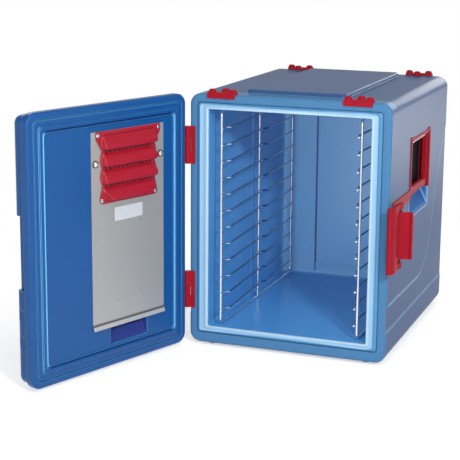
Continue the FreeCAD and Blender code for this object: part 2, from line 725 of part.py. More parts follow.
def latch_prism(points, z0, z1):
    """Upright prism from an outline of (u, v) points and (middle, end) arcs."""
    steps = []
    for step in points:
        if isinstance(step[0], tuple):
            steps.append((latch_point(*step[0], z0), latch_point(*step[1], z0)))
        else:
            steps.append(latch_point(*step, z0))
    return outline_face(steps).extrude(vec(0, 0, z1 - z0))


def latch_rod(u, v, z0, z1, radius):
    return Part.makeCylinder(radius, z1 - z0, latch_point(u, v, z0))


def lever_turned(shape):
    """Latch lever turned from closed to the open rest position."""
    turned = shape.copy()
    turned.rotate(latch_point(LEVER_PIVOT_U, LEVER_PIVOT_V, 0), Z_AXIS, -LATCH_REST_OPEN)
    return turned


def lever_z():
    return LATCH_Z - LEVER_H / 2, LATCH_Z + LEVER_H / 2


def ear_z():
    """Height spans of the two bearing ears, below and above the lever."""
    z0, z1 = lever_z()
    return (z0 - LATCH_GAP - EAR_H, z0 - LATCH_GAP), (z1 + LATCH_GAP, z1 + LATCH_GAP + EAR_H)


def arm_z():
    """Height spans of the two hook arms, outside the ears."""
    lower, upper = ear_z()
    return ((LATCH_Z - LATCH_H / 2, lower[0] - LATCH_GAP), (upper[1] + LATCH_GAP, LATCH_Z + LATCH_H / 2))


def make_latch_base():
    """Base plate with two bearing ears, and a strip back to the handle tray."""
    lower, upper = ear_z()
    web0, web1 = LEVER_PIVOT_V - EAR_WEB / 2, LEVER_PIVOT_V + EAR_WEB / 2
    plate = latch_prism([(0, BASE_START), (BASE_T, BASE_START), (BASE_T, BASE_START + BASE_L),
                         (0, BASE_START + BASE_L)], lower[0], upper[1])
    pieces = []
    for z0, z1 in (lower, upper):
        pieces.append(latch_rod(LEVER_PIVOT_U, LEVER_PIVOT_V, z0, z1, EAR_R))
        pieces.append(latch_prism([(0, web0), (LEVER_PIVOT_U, web0), (LEVER_PIVOT_U, web1), (0, web1)],
                                  z0, z1))
    tray_front = HANDLE_SETBACK - TRAY_L / 2 - TRAY_FLANGE
    tray_low = HANDLE_Z - TRAY_H / 2
    strip = outline_face([latch_point(0, LEVER_PIVOT_V, upper[1] - STRIP_H / 2),
                          latch_point(0, tray_front, tray_low),
                          latch_point(0, tray_front, tray_low + STRIP_H),
                          latch_point(0, LEVER_PIVOT_V, upper[1] + STRIP_H / 2)])
    pieces.append(strip.extrude(vec(BASE_T, 0, 0)))
    hole = latch_rod(LEVER_PIVOT_U, LEVER_PIVOT_V, lower[0] - 1, upper[1] + 1, LATCH_PIN_R + PIN_CLEAR)
    return plate.multiFuse(pieces).cut(hole).removeSplitter()


def make_latch_pin():
    lower, upper = ear_z()
    return latch_rod(LEVER_PIVOT_U, LEVER_PIVOT_V, lower[0], upper[1], LATCH_PIN_R)


def make_lever():
    """Grip flap, its barrel on the pivot pin and the lug of the crank pin."""
    z0, z1 = lever_z()
    u, v = LEVER_PIVOT_U, LEVER_PIVOT_V
    cu, cv = crank_place(0)
    barrel = latch_rod(u, v, z0, z1, LEVER_BARREL_R)
    lug = latch_rod(cu, cv, z0, z1, LEVER_BARREL_R - 1)
    end, lip = v + LEVER_L, LEVER_LIP
    outer, inner = u + LEVER_BARREL_R, u + LEVER_BARREL_R - LEVER_T
    flap = latch_prism([(inner, v), (outer, v), (outer, end - lip),
                        ((outer + lip * 0.3, end - lip * 0.3), (outer + lip, end)),
                        (outer + lip, end + LEVER_T),
                        ((outer - LEVER_T * 0.2, end + LEVER_T * 0.3), (inner, end - lip))], z0, z1)
    holes = [latch_rod(u, v, z0 - 1, z1 + 1, LATCH_PIN_R + PIN_CLEAR),
             latch_rod(cu, cv, z0 - 1, z1 + 1, CRANK_PIN_R + PIN_CLEAR)]
    return lever_turned(barrel.multiFuse([lug, flap]).cut(holes).removeSplitter())


def make_crank_pin():
    cu, cv = crank_place(0)
    return lever_turned(latch_rod(cu, cv, LATCH_Z - LATCH_H / 2, LATCH_Z + LATCH_H / 2, CRANK_PIN_R))


def make_hook():
    """Hook drawn as it bites the closed door, then carried to the open rest position."""
    z0, z1 = LATCH_Z - LATCH_H / 2, LATCH_Z + LATCH_H / 2
    su, out = HOOK_SHANK_U, HOOK_SHANK_U + HOOK_T
    nose_end = -NOSE_FACE - NOSE_T
    bite, face = -NOSE_BITE, -NOSE_FACE - HOOK_DRAFT
    turn, rear = HOOK_ROUND * 0.3, HOOK_REAR - HOOK_ROUND
    column = latch_prism([(su, HOOK_REAR), (su, -NOSE_FACE), (bite, face),
                          ((bite + HOOK_DRAFT / 2, nose_end + NOSE_T / 3), (bite + HOOK_TIP_R, nose_end)),
                          (su, nose_end - HOOK_DRAFT),
                          ((out - HOOK_T / 5, nose_end * 0.7), (out, nose_end * 0.25)), (out, rear),
                          ((out - turn, HOOK_REAR - turn), (out - HOOK_ROUND, HOOK_REAR))], z0, z1)
    cu, cv = crank_place(0)
    pieces = []
    for a0, a1 in arm_z():
        pieces.append(latch_rod(cu, cv, a0, a1, HOOK_ARM_R))
        pieces.append(latch_prism([(su, HOOK_REAR - 1), (out - HOOK_ROUND, HOOK_REAR - 1),
                                   (cu + HOOK_ARM_R, cv), (cu - HOOK_ARM_R, cv)], a0, a1))
    bore = latch_rod(cu, cv, z0 - 1, z1 + 1, CRANK_PIN_R + PIN_CLEAR)
    hook = column.multiFuse(pieces).cut(bore).removeSplitter()
    ru, rv = crank_place(LATCH_REST_OPEN)
    hook.rotate(latch_point(cu, cv, 0), Z_AXIS, LATCH_HOOK_TURN)
    hook.translate(vec(ru - cu, rv - cv, 0))
    return hook


def notch(grow):
    """Latch notch in the outer part of the door's free edge, behind the rim flange that the hook bites."""
    half = LATCH_H / 2 + NOTCH_END_CLEAR + grow
    return block((HALF_W - NOTCH_DEPTH - grow, door_y(DOOR_T) - 1, LATCH_Z - half),
                 (HALF_W + 1, door_y(DOOR_FLANGE_T - grow), LATCH_Z + half))


def door_prism(inset, depth0, depth1, radius):
    """Door outline set in from its edges, between two depths behind the rim face."""
    return slab((-HALF_W + inset, door_y(depth1), inset), (HALF_W - inset, door_y(depth0), BODY_H - inset),
                radius, Y_AXIS)


def duct(grow):
    """Air duct behind the guide plate, running out below into a pocket with a sloping floor."""
    x = PLATE_SHIFT
    deep = DUCT_DEPTH + grow
    chamber = block((x - DUCT_W / 2 - grow, door_y(deep), DUCT_Z0 - grow),
                    (x + DUCT_W / 2 + grow, door_y(-1) if grow == 0 else door_y(PANEL_T), DUCT_Z1 + grow))
    shallow = -1 if grow == 0 else PANEL_T
    left = x - POCKET_W / 2 - grow
    low = PLATE_Z0 - POCKET_DROP
    ramp = outline_face([vec(left, door_y(shallow), DUCT_Z0 + 1), vec(left, door_y(deep), DUCT_Z0 + 1),
                         vec(left, door_y(deep), PLATE_Z0 - grow), vec(left, door_y(PANEL_T), low - grow),
                         vec(left, door_y(shallow), low - grow)])
    return chamber.fuse(ramp.extrude(vec(POCKET_W + 2 * grow, 0, 0)))


def control_recess(grow):
    """Recess for the control panel in the outer face of the door."""
    half_w, half_h = CONTROL_W / 2 + grow, CONTROL_H / 2 + grow
    back = DOOR_T - CONTROL_DEPTH - CONTROL_WALL - grow
    return slab((CONTROL_X - half_w, door_y(DOOR_T) - 1, CONTROL_Z - half_h),
                (CONTROL_X + half_w, door_y(back), CONTROL_Z + half_h), CONTROL_R + grow, Y_AXIS)


def inlet_well(grow):
    """Room for the socket body behind the control panel."""
    z = CONTROL_Z - INLET_DROP
    back = DOOR_T - CONTROL_DEPTH - INLET_DEPTH - grow
    return block((CONTROL_X - INLET_W / 2 - grow, door_y(DOOR_T - CONTROL_DEPTH), z - INLET_H / 2 - grow),
                 (CONTROL_X + INLET_W / 2 + grow, door_y(back), z + INLET_H / 2 + grow))


def door_inside():
    """Hollow of the outer shell, round the latch notch."""
    return door_prism(DOOR_RIM, -1, DOOR_T - DOOR_SKIN, CORNER_R - DOOR_RIM).cut(notch(NOTCH_WALL))


def door_outer_part():
    """Outer part of the door, stepped in from the rim flange on every side but the hinge side."""
    return slab((-HALF_W, door_y(DOOR_T), DOOR_STEP),
                (HALF_W - DOOR_STEP, door_y(DOOR_FLANGE_T - DOOR_FLANGE_R), BODY_H - DOOR_STEP),
                CORNER_R - DOOR_STEP, Y_AXIS)


def make_door_shell():
    """Outer shell of the door: rim flange and stepped outer part, hollow inside."""
    flange = door_prism(0, 0, DOOR_FLANGE_T, CORNER_R)
    flange = soften(flange, DOOR_INNER_R, "y", door_y(0))
    flange = soften(flange, DOOR_FLANGE_R, "y", door_y(DOOR_FLANGE_T))
    shell = flange.fuse(soften(door_outer_part(), DOOR_OUTER_R, "y", door_y(DOOR_T)))
    cuts = [door_inside(), notch(0)]
    for step in range(2):
        z = GRIP_GROOVE_LOW + step * GRIP_GROOVE_STEP
        cuts.append(block((HALF_W - DOOR_STEP - GRIP_GROOVE_DEPTH, door_y(DOOR_T) - 1, z),
                          (HALF_W + 1, door_y(DOOR_FLANGE_T), z + GRIP_GROOVE_H)))
    for z in HINGE_ZS.values():
        half = HINGE_H / 2 - 1 + FIT
        cuts.append(block((-HALF_W - 1, door_y(DOOR_LEAF_REACH + FIT), z - half),
                          (-HALF_W + LEAF_T, door_y(DOOR_LEAF_START - FIT), z + half)))
        cuts.append(knuckle_room(z))
    cuts.append(control_recess(FIT))
    return shell.cut(cuts)


def make_inner_panel():
    edge = DOOR_RIM + FIT
    panel = door_prism(edge, 0, PANEL_T, CORNER_R - DOOR_RIM)
    groove = door_prism(edge - 1, -1, PANEL_GROOVE_DEPTH, CORNER_R - DOOR_RIM)
    groove = groove.cut(door_prism(edge + PANEL_GROOVE, -2, PANEL_GROOVE_DEPTH + 1, CORNER_R - DOOR_RIM))
    bead = door_prism(BEAD_OUT, -BEAD_H, PANEL_T / 2, CORNER_R - DOOR_RIM)
    bead = bead.cut(door_prism(BEAD_OUT + BEAD_W, -BEAD_H - 1, PANEL_T, CORNER_R - DOOR_RIM))
    bead = soften(bead, BEAD_H * 0.8, "y", door_y(-BEAD_H))
    panel = panel.cut(groove).multiFuse([bead, duct(DUCT_WALL)])
    return panel.cut(duct(0)).removeSplitter()


def make_door_foam():
    room = door_inside().common(door_prism(0, PANEL_T, DOOR_T, CORNER_R))
    return room.cut([duct(DUCT_WALL), control_recess(FIT + CONTROL_WALL), inlet_well(INLET_WALL)])


def make_guide_plate():
    """Folded sheet with an opening behind the louvre and a lip turned in along its lower edge."""
    x = PLATE_SHIFT
    half = PLATE_W / 2
    sheet = slab((x - half, door_y(0), PLATE_Z0 + PLATE_FOLD), (x + half, door_y(-PLATE_T), PLATE_Z1),
                 PLATE_R, Y_AXIS)
    fold_top = PLATE_Z0 + PLATE_FOLD + 3
    lip = outline_face([vec(x - half, door_y(0), fold_top), vec(x - half, door_y(-PLATE_T), fold_top),
                        vec(x - half, door_y(-PLATE_T), PLATE_Z0 + PLATE_FOLD),
                        vec(x - half, door_y(-PLATE_T - PLATE_FOLD_RISE), PLATE_Z0),
                        vec(x - half, door_y(-PLATE_FOLD_RISE), PLATE_Z0),
                        vec(x - half, door_y(0), PLATE_Z0 + PLATE_FOLD)])
    window_half = LOUVRE_W_WAIST / 2 - HOOD_SIDE - HOOD_WALL
    window = block((x - window_half, door_y(1), PLATE_Z1 - LOUVRE_H + LOUVRE_HEAD),
                   (x + window_half, door_y(-PLATE_T - 1), PLATE_Z1 - LOUVRE_HEAD))
    holes = [rod((px, door_y(1), pz), (px, door_y(-PLATE_T - 1), pz), SCREW_SHANK_R + FIT)
             for px, pz in screw_places() + thumb_places()]
    return sheet.fuse(lip.extrude(vec(PLATE_W, 0, 0))).cut([window] + holes).removeSplitter()


def screw_places():
    """Louvre screws in the ears at its four corners."""
    x = PLATE_SHIFT
    top, low = PLATE_Z1 - SCREW_EAR, PLATE_Z1 - LOUVRE_H + SCREW_EAR
    wide, narrow = LOUVRE_W_TOP / 2 - SCREW_EDGE, LOUVRE_W_BOTTOM / 2 - SCREW_EDGE
    return [(x - wide, top), (x + wide, top), (x - narrow, low), (x + narrow, low)]


def thumb_places():
    """Quarter-turn fasteners near the side edges of the plate."""
    x = PLATE_SHIFT
    reach = PLATE_W / 2 - THUMB_EDGE
    return [(x - reach, PLATE_Z1 - THUMB_DROP), (x + reach, PLATE_Z1 - THUMB_DROP)]


def blank_z():
    """Height of the small bare plate's middle, under the louvre."""
    return PLATE_Z1 - LOUVRE_H - BLANK_DROP - BLANK_H / 2


def rivet_places():
    x = PLATE_SHIFT
    rows = (PLATE_Z0 + RIVET_LOW, blank_z() - BLANK_H / 2 - RIVET_DROP)
    return [(x + sign * RIVET_SPAN / 2, z) for z in rows for sign in (-1, 1)]


def slat_tops():
    return [PLATE_Z1 - LOUVRE_HEAD - LOUVRE_PITCH * index for index in range(LOUVRE_SLATS)]


def hood_profile(x, top, inset):
    """Side view of one hood: a quarter-round cap that opens downwards, set in by a wall."""
    base = -PLATE_T
    root = vec(x, door_y(base), top - inset)
    bottom = top - HOOD_H - (1 if inset else 0)
    out = HOOD_OUT - inset
    bulge = vec(x, door_y(base - out * 0.72), top - inset - HOOD_H * 0.22)
    tip = vec(x, door_y(base - out), top - HOOD_H * 0.72)
    return outline_face([root, (bulge, tip), vec(x, door_y(base - out), bottom),
                         vec(x, door_y(base), bottom)])


def hood_front(index, inset):
    """Front view of one hood: bulged ends, or on the lowest one ends cut back for the screw ears."""
    x, y = PLATE_SHIFT, door_y(-PLATE_T)
    top = slat_tops()[index]
    low = top - HOOD_H - (1 if inset else 0)
    half = LOUVRE_W_WAIST / 2 - HOOD_WALL - inset
    p = lambda dx, z: vec(x + dx, y, z)
    if index < LOUVRE_SLATS - 1:
        bulge, middle = half + HOOD_SIDE, (top + low) / 2
        return outline_face([p(-half, top), p(half, top), (p(bulge, middle), p(half, low)), p(-half, low),
                             (p(-bulge, middle), p(-half, top))])
    short, bend = half - 2 * SCREW_EAR, top - HOOD_H / 3
    return outline_face([p(-half, top), p(half, top), p(half, bend), p(short, low), p(-short, low),
                         p(-half, bend)])


def make_hood(index, inset):
    """One hood, or the hollow inside it set in by a wall, cut from its side and front views."""
    half = LOUVRE_W_TOP / 2
    side = hood_profile(PLATE_SHIFT - half, slat_tops()[index], inset).extrude(vec(2 * half, 0, 0))
    return side.common(hood_front(index, inset).extrude(vec(0, 2 * HOOD_OUT, 0)))


def make_louvre():
    """Moulded louvre: scalloped flange with corner ears and a row of hoods open downwards."""
    x = PLATE_SHIFT
    z1, z0 = PLATE_Z1, PLATE_Z1 - LOUVRE_H
    wide, waist, foot = LOUVRE_W_TOP / 2, LOUVRE_W_WAIST / 2, LOUVRE_W_BOTTOM / 2
    y = door_y(-PLATE_T)
    p = lambda dx, z: vec(x + dx, y, z)
    ear = 2 * SCREW_EAR
    notches = [top - HOOD_H - HOOD_WALL for top in slat_tops()[:-1]]
    right, left = [p(waist, notches[0])], [p(-waist, notches[-1])]
    for high, low in zip(notches, notches[1:]):
        right.append((p(waist + HOOD_SIDE, (high + low) / 2), p(waist, low)))
    for low, high in zip(notches[::-1], notches[-2::-1]):
        left.append((p(-waist - HOOD_SIDE, (high + low) / 2), p(-waist, high)))
    flange = outline_face([p(-wide, z1), p(wide, z1), p(wide, z1 - ear)] + right
                          + [p(foot, z0 + ear), p(foot, z0 + HOOD_SIDE), p(foot - HOOD_SIDE, z0),
                             p(HOOD_SIDE - foot, z0), p(-foot, z0 + HOOD_SIDE), p(-foot, z0 + ear)] + left
                          + [p(-wide, z1 - ear)])
    flange = flange.extrude(vec(0, LOUVRE_FLANGE, 0))
    hoods = [make_hood(index, 0) for index in range(LOUVRE_SLATS)]
    hollows = [make_hood(index, HOOD_WALL) for index in range(LOUVRE_SLATS)]
    holes = [rod((px, y - 1, pz), (px, y + LOUVRE_FLANGE + 1, pz), SCREW_SHANK_R + FIT)
             for px, pz in screw_places()]
    return flange.multiFuse(hoods).cut(hollows + holes).removeSplitter()


def make_screws(places, seat, head_r, head_h, shank):
    """Domed screws seated on a face of the door, one solid each."""
    screws = []
    for x, z in places:
        head = Part.makeCylinder(head_r, head_h, vec(x, door_y(-seat), z), Y_AXIS)
        head = soften(head, head_h * 0.7, "y", door_y(-seat - head_h))
        stem = rod((x, door_y(-seat + shank), z), (x, door_y(-seat - head_h / 4), z), SCREW_SHANK_R)
        screws.append(head.fuse(stem))
    return Part.makeCompound(screws)


def make_thumbs():
    """Quarter-turn fasteners: low round heads with an upright wing each."""
    heads = make_screws(thumb_places(), PLATE_T, THUMB_R, THUMB_H, PLATE_T).Solids
    thumbs = []
    for head, (x, z) in zip(heads, thumb_places()):
        wing = slab((x - THUMB_WING_T / 2, door_y(-PLATE_T - THUMB_H / 2), z - THUMB_WING_L / 2),
                    (x + THUMB_WING_T / 2, door_y(-PLATE_T - THUMB_H - THUMB_WING_H), z + THUMB_WING_L / 2),
                    THUMB_WING_T / 3, Y_AXIS)
        wing = soften(wing, THUMB_WING_T / 4, "y", door_y(-PLATE_T - THUMB_H - THUMB_WING_H))
        thumbs.append(head.fuse(wing).removeSplitter())
    return Part.makeCompound(thumbs)


def make_rivets():
    rivets = []
    for x, z in rivet_places():
        head = Part.makeCylinder(RIVET_R, RIVET_H, vec(x, door_y(-PLATE_T), z), Y_AXIS)
        rivets.append(soften(head, RIVET_H * 0.8, "y", door_y(-PLATE_T - RIVET_H)))
    return Part.makeCompound(rivets)


def make_blank_plate():
    """Small bare plate fixed flat on the guide plate."""
    x, z = PLATE_SHIFT, blank_z()
    return slab((x - BLANK_W / 2, door_y(-PLATE_T), z - BLANK_H / 2),
                (x + BLANK_W / 2, door_y(-PLATE_T - BLANK_T), z + BLANK_H / 2), BLANK_R, Y_AXIS)


def make_motor():
    x = PLATE_SHIFT
    can = Part.makeCylinder(MOTOR_R, MOTOR_H, vec(x, door_y(DUCT_DEPTH), FAN_Z), Y_AXIS)
    end = DUCT_DEPTH - MOTOR_H - FAN_BLADE_H
    shaft = rod((x, door_y(DUCT_DEPTH), FAN_Z), (x, door_y(end), FAN_Z), MOTOR_SHAFT_R)
    return can.fuse(shaft)


def make_impeller():
    """Radial wheel: back disc, hub and curved blades, running just in front of the motor."""
    x = PLATE_SHIFT
    back = DUCT_DEPTH - MOTOR_H - 2 * LATCH_GAP
    disc = Part.makeCylinder(FAN_R, FAN_DISC_T, vec(x, door_y(back), FAN_Z), Y_AXIS)
    hub = Part.makeCylinder(FAN_HUB_R, FAN_BLADE_H, vec(x, door_y(back), FAN_Z), Y_AXIS)
    blades = []
    y = door_y(back)
    inner, outer = FAN_HUB_R - 2, FAN_R - 1
    middle = (inner + outer) / 2
    for index in range(FAN_BLADES):
        turn = 2 * math.pi * index / FAN_BLADES
        at = lambda radius, lead, t: vec(x + radius * math.cos(turn + lead) - t * math.sin(turn + lead), y,
                                         FAN_Z + radius * math.sin(turn + lead) + t * math.cos(turn + lead))
        lead_mid, lead_end, t = FAN_LEAD * 0.35, FAN_LEAD, FAN_BLADE_T
        face = outline_face([at(inner, 0, 0), (at(middle, lead_mid, 0), at(outer, lead_end, 0)),
                             at(outer, lead_end, t), (at(middle, lead_mid, t), at(inner, 0, t))])
        blades.append(face.extrude(vec(0, FAN_BLADE_H, 0)))
    bore = rod((x, door_y(DUCT_DEPTH), FAN_Z), (x, door_y(-1), FAN_Z), MOTOR_SHAFT_R + PIN_CLEAR)
    return disc.multiFuse([hub] + blades).cut(bore).removeSplitter()


def make_heater():
    """Tubular element: level passes joined by half-round bends, standing off the duct's back wall."""
    x = PLATE_SHIFT
    y = door_y(DUCT_DEPTH - HEATER_R - FIT)
    base = DUCT_Z0 + HEATER_RISE
    reach = HEATER_SPAN / 2
    edges = []
    sign = -1
    for index in range(HEATER_PASSES):
        z = base + index * HEATER_PITCH
        edges.append(Part.makeLine(vec(x + sign * reach, y, z), vec(x - sign * reach, y, z)))
        sign = -sign
        if index < HEATER_PASSES - 1:
            bend = reach + HEATER_PITCH / 2
            edges.append(Part.Arc(vec(x + sign * reach, y, z), vec(x + sign * bend, y, z + HEATER_PITCH / 2),
                                  vec(x + sign * reach, y, z + HEATER_PITCH)).toShape())
    circle = Part.makeCircle(HEATER_R, vec(x - reach, y, base), X_AXIS)
    return Part.Wire(edges).makePipeShell([Part.Wire([circle])], True, False)


def make_probe():
    x = PLATE_SHIFT - DUCT_W / 2 + PROBE_R + FIT
    y = door_y(DUCT_DEPTH - PROBE_R - FIT)
    bulb = rod((x, y, FAN_Z), (x, y, FAN_Z + PROBE_L), PROBE_R)
    return soften(bulb, PROBE_R * 0.8, "z", FAN_Z + PROBE_L)


def switch_place():
    return CONTROL_X - SWITCH_SHIFT, CONTROL_Z


def knob_place():
    return CONTROL_X, CONTROL_Z + KNOB_RISE


def panel_face():
    """Depth of the control panel's face behind the door's rim face."""
    return DOOR_T - CONTROL_DEPTH


def make_control_panel():
    """Dished panel with a knob shaft, a switch well, a lamp hole and the socket's cut-out."""
    dish = control_recess(0)
    dish = dish.common(door_prism(0, 0, DOOR_T, CORNER_R))
    half_w, half_h = CONTROL_W / 2 - CONTROL_WALL, CONTROL_H / 2 - CONTROL_WALL
    hollow = slab((CONTROL_X - half_w, door_y(DOOR_T) - 1, CONTROL_Z - half_h),
                  (CONTROL_X + half_w, door_y(panel_face()), CONTROL_Z + half_h),
                  CONTROL_R - CONTROL_WALL, Y_AXIS)
    kx, kz = knob_place()
    shaft = rod((kx, door_y(panel_face() - 1), kz), (kx, door_y(panel_face() + KNOB_SHAFT_L), kz),
                KNOB_SHAFT_R)
    sx, sz = switch_place()
    back = panel_face() - CONTROL_WALL - 1
    window = block((sx - SWITCH_W / 2 - 2 * FIT, door_y(panel_face() + 1), sz - SWITCH_L / 2 - 2 * FIT),
                   (sx + SWITCH_W / 2 + 2 * FIT, door_y(back), sz + SWITCH_L / 2 + 2 * FIT))
    pivot_y = door_y(panel_face() - CONTROL_WALL / 2)
    reach = SWITCH_W / 2 + CONTROL_WALL
    bearing = rod((sx - reach, pivot_y, sz), (sx + reach, pivot_y, sz), SWITCH_PIN_R + PIN_CLEAR)
    lamp = rod((CONTROL_X + SWITCH_SHIFT, door_y(panel_face() + 1), CONTROL_Z),
               (CONTROL_X + SWITCH_SHIFT, door_y(back), CONTROL_Z), LAMP_R + FIT)
    iz = CONTROL_Z - INLET_DROP
    socket = block((CONTROL_X - INLET_W / 2 - FIT, door_y(panel_face() + 1), iz - INLET_H / 2 - FIT),
                   (CONTROL_X + INLET_W / 2 + FIT, door_y(back), iz + INLET_H / 2 + FIT))
    return dish.cut(hollow).fuse(shaft).cut([window, bearing, lamp, socket]).removeSplitter()


def make_knob():
    """Round knob with a raised pointer bar, bored for the shaft."""
    kx, kz = knob_place()
    seat = panel_face() + LATCH_GAP
    knob = Part.makeCylinder(KNOB_R, KNOB_H, vec(kx, door_y(seat + KNOB_H), kz), Y_AXIS)
    knob = soften(knob, KNOB_ROUND, "y", door_y(seat + KNOB_H))
    pointer = slab((kx - POINTER_W / 2, door_y(seat + KNOB_H + POINTER_H), kz - KNOB_R * 0.8),
                   (kx + POINTER_W / 2, door_y(seat), kz + KNOB_R * 0.8), KNOB_ROUND, Y_AXIS)
    bore = rod((kx, door_y(seat - 1), kz), (kx, door_y(panel_face() + KNOB_SHAFT_L + FIT), kz),
               KNOB_SHAFT_R + PIN_CLEAR)
    return knob.fuse(pointer).cut(bore).removeSplitter()


def make_rocker():
    """Rocker of the power switch on its cross pin, drawn with the off end pressed in."""
    sx, sz = switch_place()
    y = door_y(panel_face() - CONTROL_WALL / 2)
    half_w, half_l = SWITCH_W / 2 - FIT, SWITCH_L / 2 - 2 * FIT
    rise = CONTROL_WALL / 2 + SWITCH_DEPTH / 2
    face = outline_face([vec(sx - half_w, y, sz - half_l + 1), vec(sx - half_w, y - rise * 0.45, sz - half_l),
                         (vec(sx - half_w, y - rise * 0.4, sz), vec(sx - half_w, y - rise, sz + half_l - 1)),
                         vec(sx - half_w, y, sz + half_l - 1)])
    cap = face.extrude(vec(2 * half_w, 0, 0))
    reach = SWITCH_W / 2 + CONTROL_WALL - FIT
    pin = rod((sx - reach, y, sz), (sx + reach, y, sz), SWITCH_PIN_R)
    return cap.fuse(pin).removeSplitter()


def make_lamp():
    x, z = CONTROL_X + SWITCH_SHIFT, CONTROL_Z
    stem = rod((x, door_y(panel_face() - CONTROL_WALL), z), (x, door_y(panel_face() + LAMP_H / 2), z), LAMP_R)
    dome = Part.makeCylinder(LAMP_R + LAMP_RIM, LAMP_H, vec(x, door_y(panel_face() + LAMP_H), z), Y_AXIS)
    dome = soften(dome, LAMP_H * 0.6, "y", door_y(panel_face() + LAMP_H))
    return stem.fuse(dome).removeSplitter()


def make_inlet():
    """Recessed appliance socket with three contact blades."""
    z = CONTROL_Z - INLET_DROP
    shell = block((CONTROL_X - INLET_W / 2, door_y(panel_face()), z - INLET_H / 2),
                  (CONTROL_X + INLET_W / 2, door_y(panel_face() - INLET_DEPTH), z + INLET_H / 2))
    half_w, half_h = INLET_W / 2 - INLET_WALL, INLET_H / 2 - INLET_WALL
    hollow = slab((CONTROL_X - half_w, door_y(panel_face()) - 1, z - half_h),
                  (CONTROL_X + half_w, door_y(panel_face() - INLET_DEPTH + INLET_WALL), z + half_h),
                  INLET_R, Y_AXIS)
    blades = []
    span, drop = INLET_PIN_SPAN, INLET_PIN_DROP
    for dx, dz in ((-span, -drop), (0.0, INLET_EARTH_RISE), (span, -drop)):
        left, low = CONTROL_X + dx - INLET_PIN_T / 2, z + dz - INLET_PIN / 2
        blades.append(block((left, door_y(panel_face() - INLET_MOUTH), low),
                            (left + INLET_PIN_T, door_y(panel_face() - INLET_DEPTH + 1), low + INLET_PIN)))
    return shell.cut(hollow).multiFuse(blades).removeSplitter()


os.makedirs("parts", exist_ok=True)

# Body
keep("body_outer_shell", make_outer_shell())
keep("body_insulation", foam_space().cut([liner_outer(), liner_inner()]))
keep("body_inner_liner", liner_outer().cut(liner_inner()).removeSplitter())
keep("opening_seal", make_seal())
for name, x, y in foot_places():
    keep("foot_" + name, make_foot(x, y))
front_corner = make_stacking_corner(FRONT_EDGE_R)
rear_corner = make_stacking_corner(REAR_EDGE_R).mirror(vec(0, 0, 0), Y_AXIS)
for side in ("left", "right"):
    keep("stacking_corner_front_" + side, sided(front_corner, side))
    keep("stacking_corner_rear_" + side, sided(rear_corner, side))
    keep("rack_" + side, make_rack(1 if side == "right" else -1))
    keep("handle_tray_" + side, sided(make_tray(), side))
    keep("handle_pin_" + side, sided(make_handle_pin(), side))
    keep("handle_bail_" + side, sided(make_bail(), side))

# Hinges and latch
for place, z in HINGE_ZS.items():
    keep("hinge_body_leaf_" + place, make_body_leaf(z))
    keep("hinge_pin_" + place, make_hinge_pin(z))
    keep("hinge_door_leaf_" + place, swung(make_door_leaf(z)))
keep("latch_base", make_latch_base())
keep("latch_pivot_pin", make_latch_pin())
keep("latch_lever", make_lever())
keep("latch_crank_pin", make_crank_pin())
keep("latch_hook", make_hook())

# Door
keep("door_outer_shell", swung(make_door_shell()))
keep("door_inner_panel", swung(make_inner_panel()))
keep("door_insulation", swung(make_door_foam()))
keep("air_guide_plate", swung(make_guide_plate()))
keep("air_louvre", swung(make_louvre()))
ear_face = PLATE_T + LOUVRE_FLANGE
keep("louvre_screws", swung(make_screws(screw_places(), ear_face, SCREW_HEAD_R, SCREW_HEAD_H, ear_face)))
keep("plate_fasteners", swung(make_thumbs()))
keep("plate_rivets", swung(make_rivets()))
keep("blank_plate", swung(make_blank_plate()))
keep("fan_motor", swung(make_motor()))
keep("fan_impeller", swung(make_impeller()))
keep("heating_element", swung(make_heater()))
keep("thermostat_probe", swung(make_probe()))
keep("control_panel", swung(make_control_panel()))
keep("temperature_knob", swung(make_knob()))
keep("power_switch", swung(make_rocker()))
keep("pilot_lamp", swung(make_lamp()))
keep("mains_inlet", swung(make_inlet()))
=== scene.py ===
import math

import bpy
import numpy as np
from mathutils import Matrix, Vector


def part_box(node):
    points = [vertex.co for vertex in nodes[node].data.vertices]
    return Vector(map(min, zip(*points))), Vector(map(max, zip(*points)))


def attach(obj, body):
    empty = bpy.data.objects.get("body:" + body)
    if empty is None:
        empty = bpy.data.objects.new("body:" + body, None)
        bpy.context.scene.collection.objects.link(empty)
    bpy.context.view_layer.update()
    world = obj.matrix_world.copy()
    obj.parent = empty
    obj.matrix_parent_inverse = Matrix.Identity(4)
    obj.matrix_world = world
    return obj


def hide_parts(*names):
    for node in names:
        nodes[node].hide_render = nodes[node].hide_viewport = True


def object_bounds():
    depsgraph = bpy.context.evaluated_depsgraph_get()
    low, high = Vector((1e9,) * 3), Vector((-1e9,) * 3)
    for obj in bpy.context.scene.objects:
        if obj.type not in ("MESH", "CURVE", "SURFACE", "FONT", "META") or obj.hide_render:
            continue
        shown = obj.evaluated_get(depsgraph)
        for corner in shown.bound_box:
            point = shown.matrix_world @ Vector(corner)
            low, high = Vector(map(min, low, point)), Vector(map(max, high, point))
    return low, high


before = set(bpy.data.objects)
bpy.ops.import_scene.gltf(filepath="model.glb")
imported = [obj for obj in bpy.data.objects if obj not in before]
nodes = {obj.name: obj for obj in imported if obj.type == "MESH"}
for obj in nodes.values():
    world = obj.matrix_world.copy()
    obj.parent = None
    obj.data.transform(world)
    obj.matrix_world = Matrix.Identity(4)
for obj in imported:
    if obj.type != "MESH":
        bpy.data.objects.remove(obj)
cad_box = [list(corner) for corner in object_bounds()]


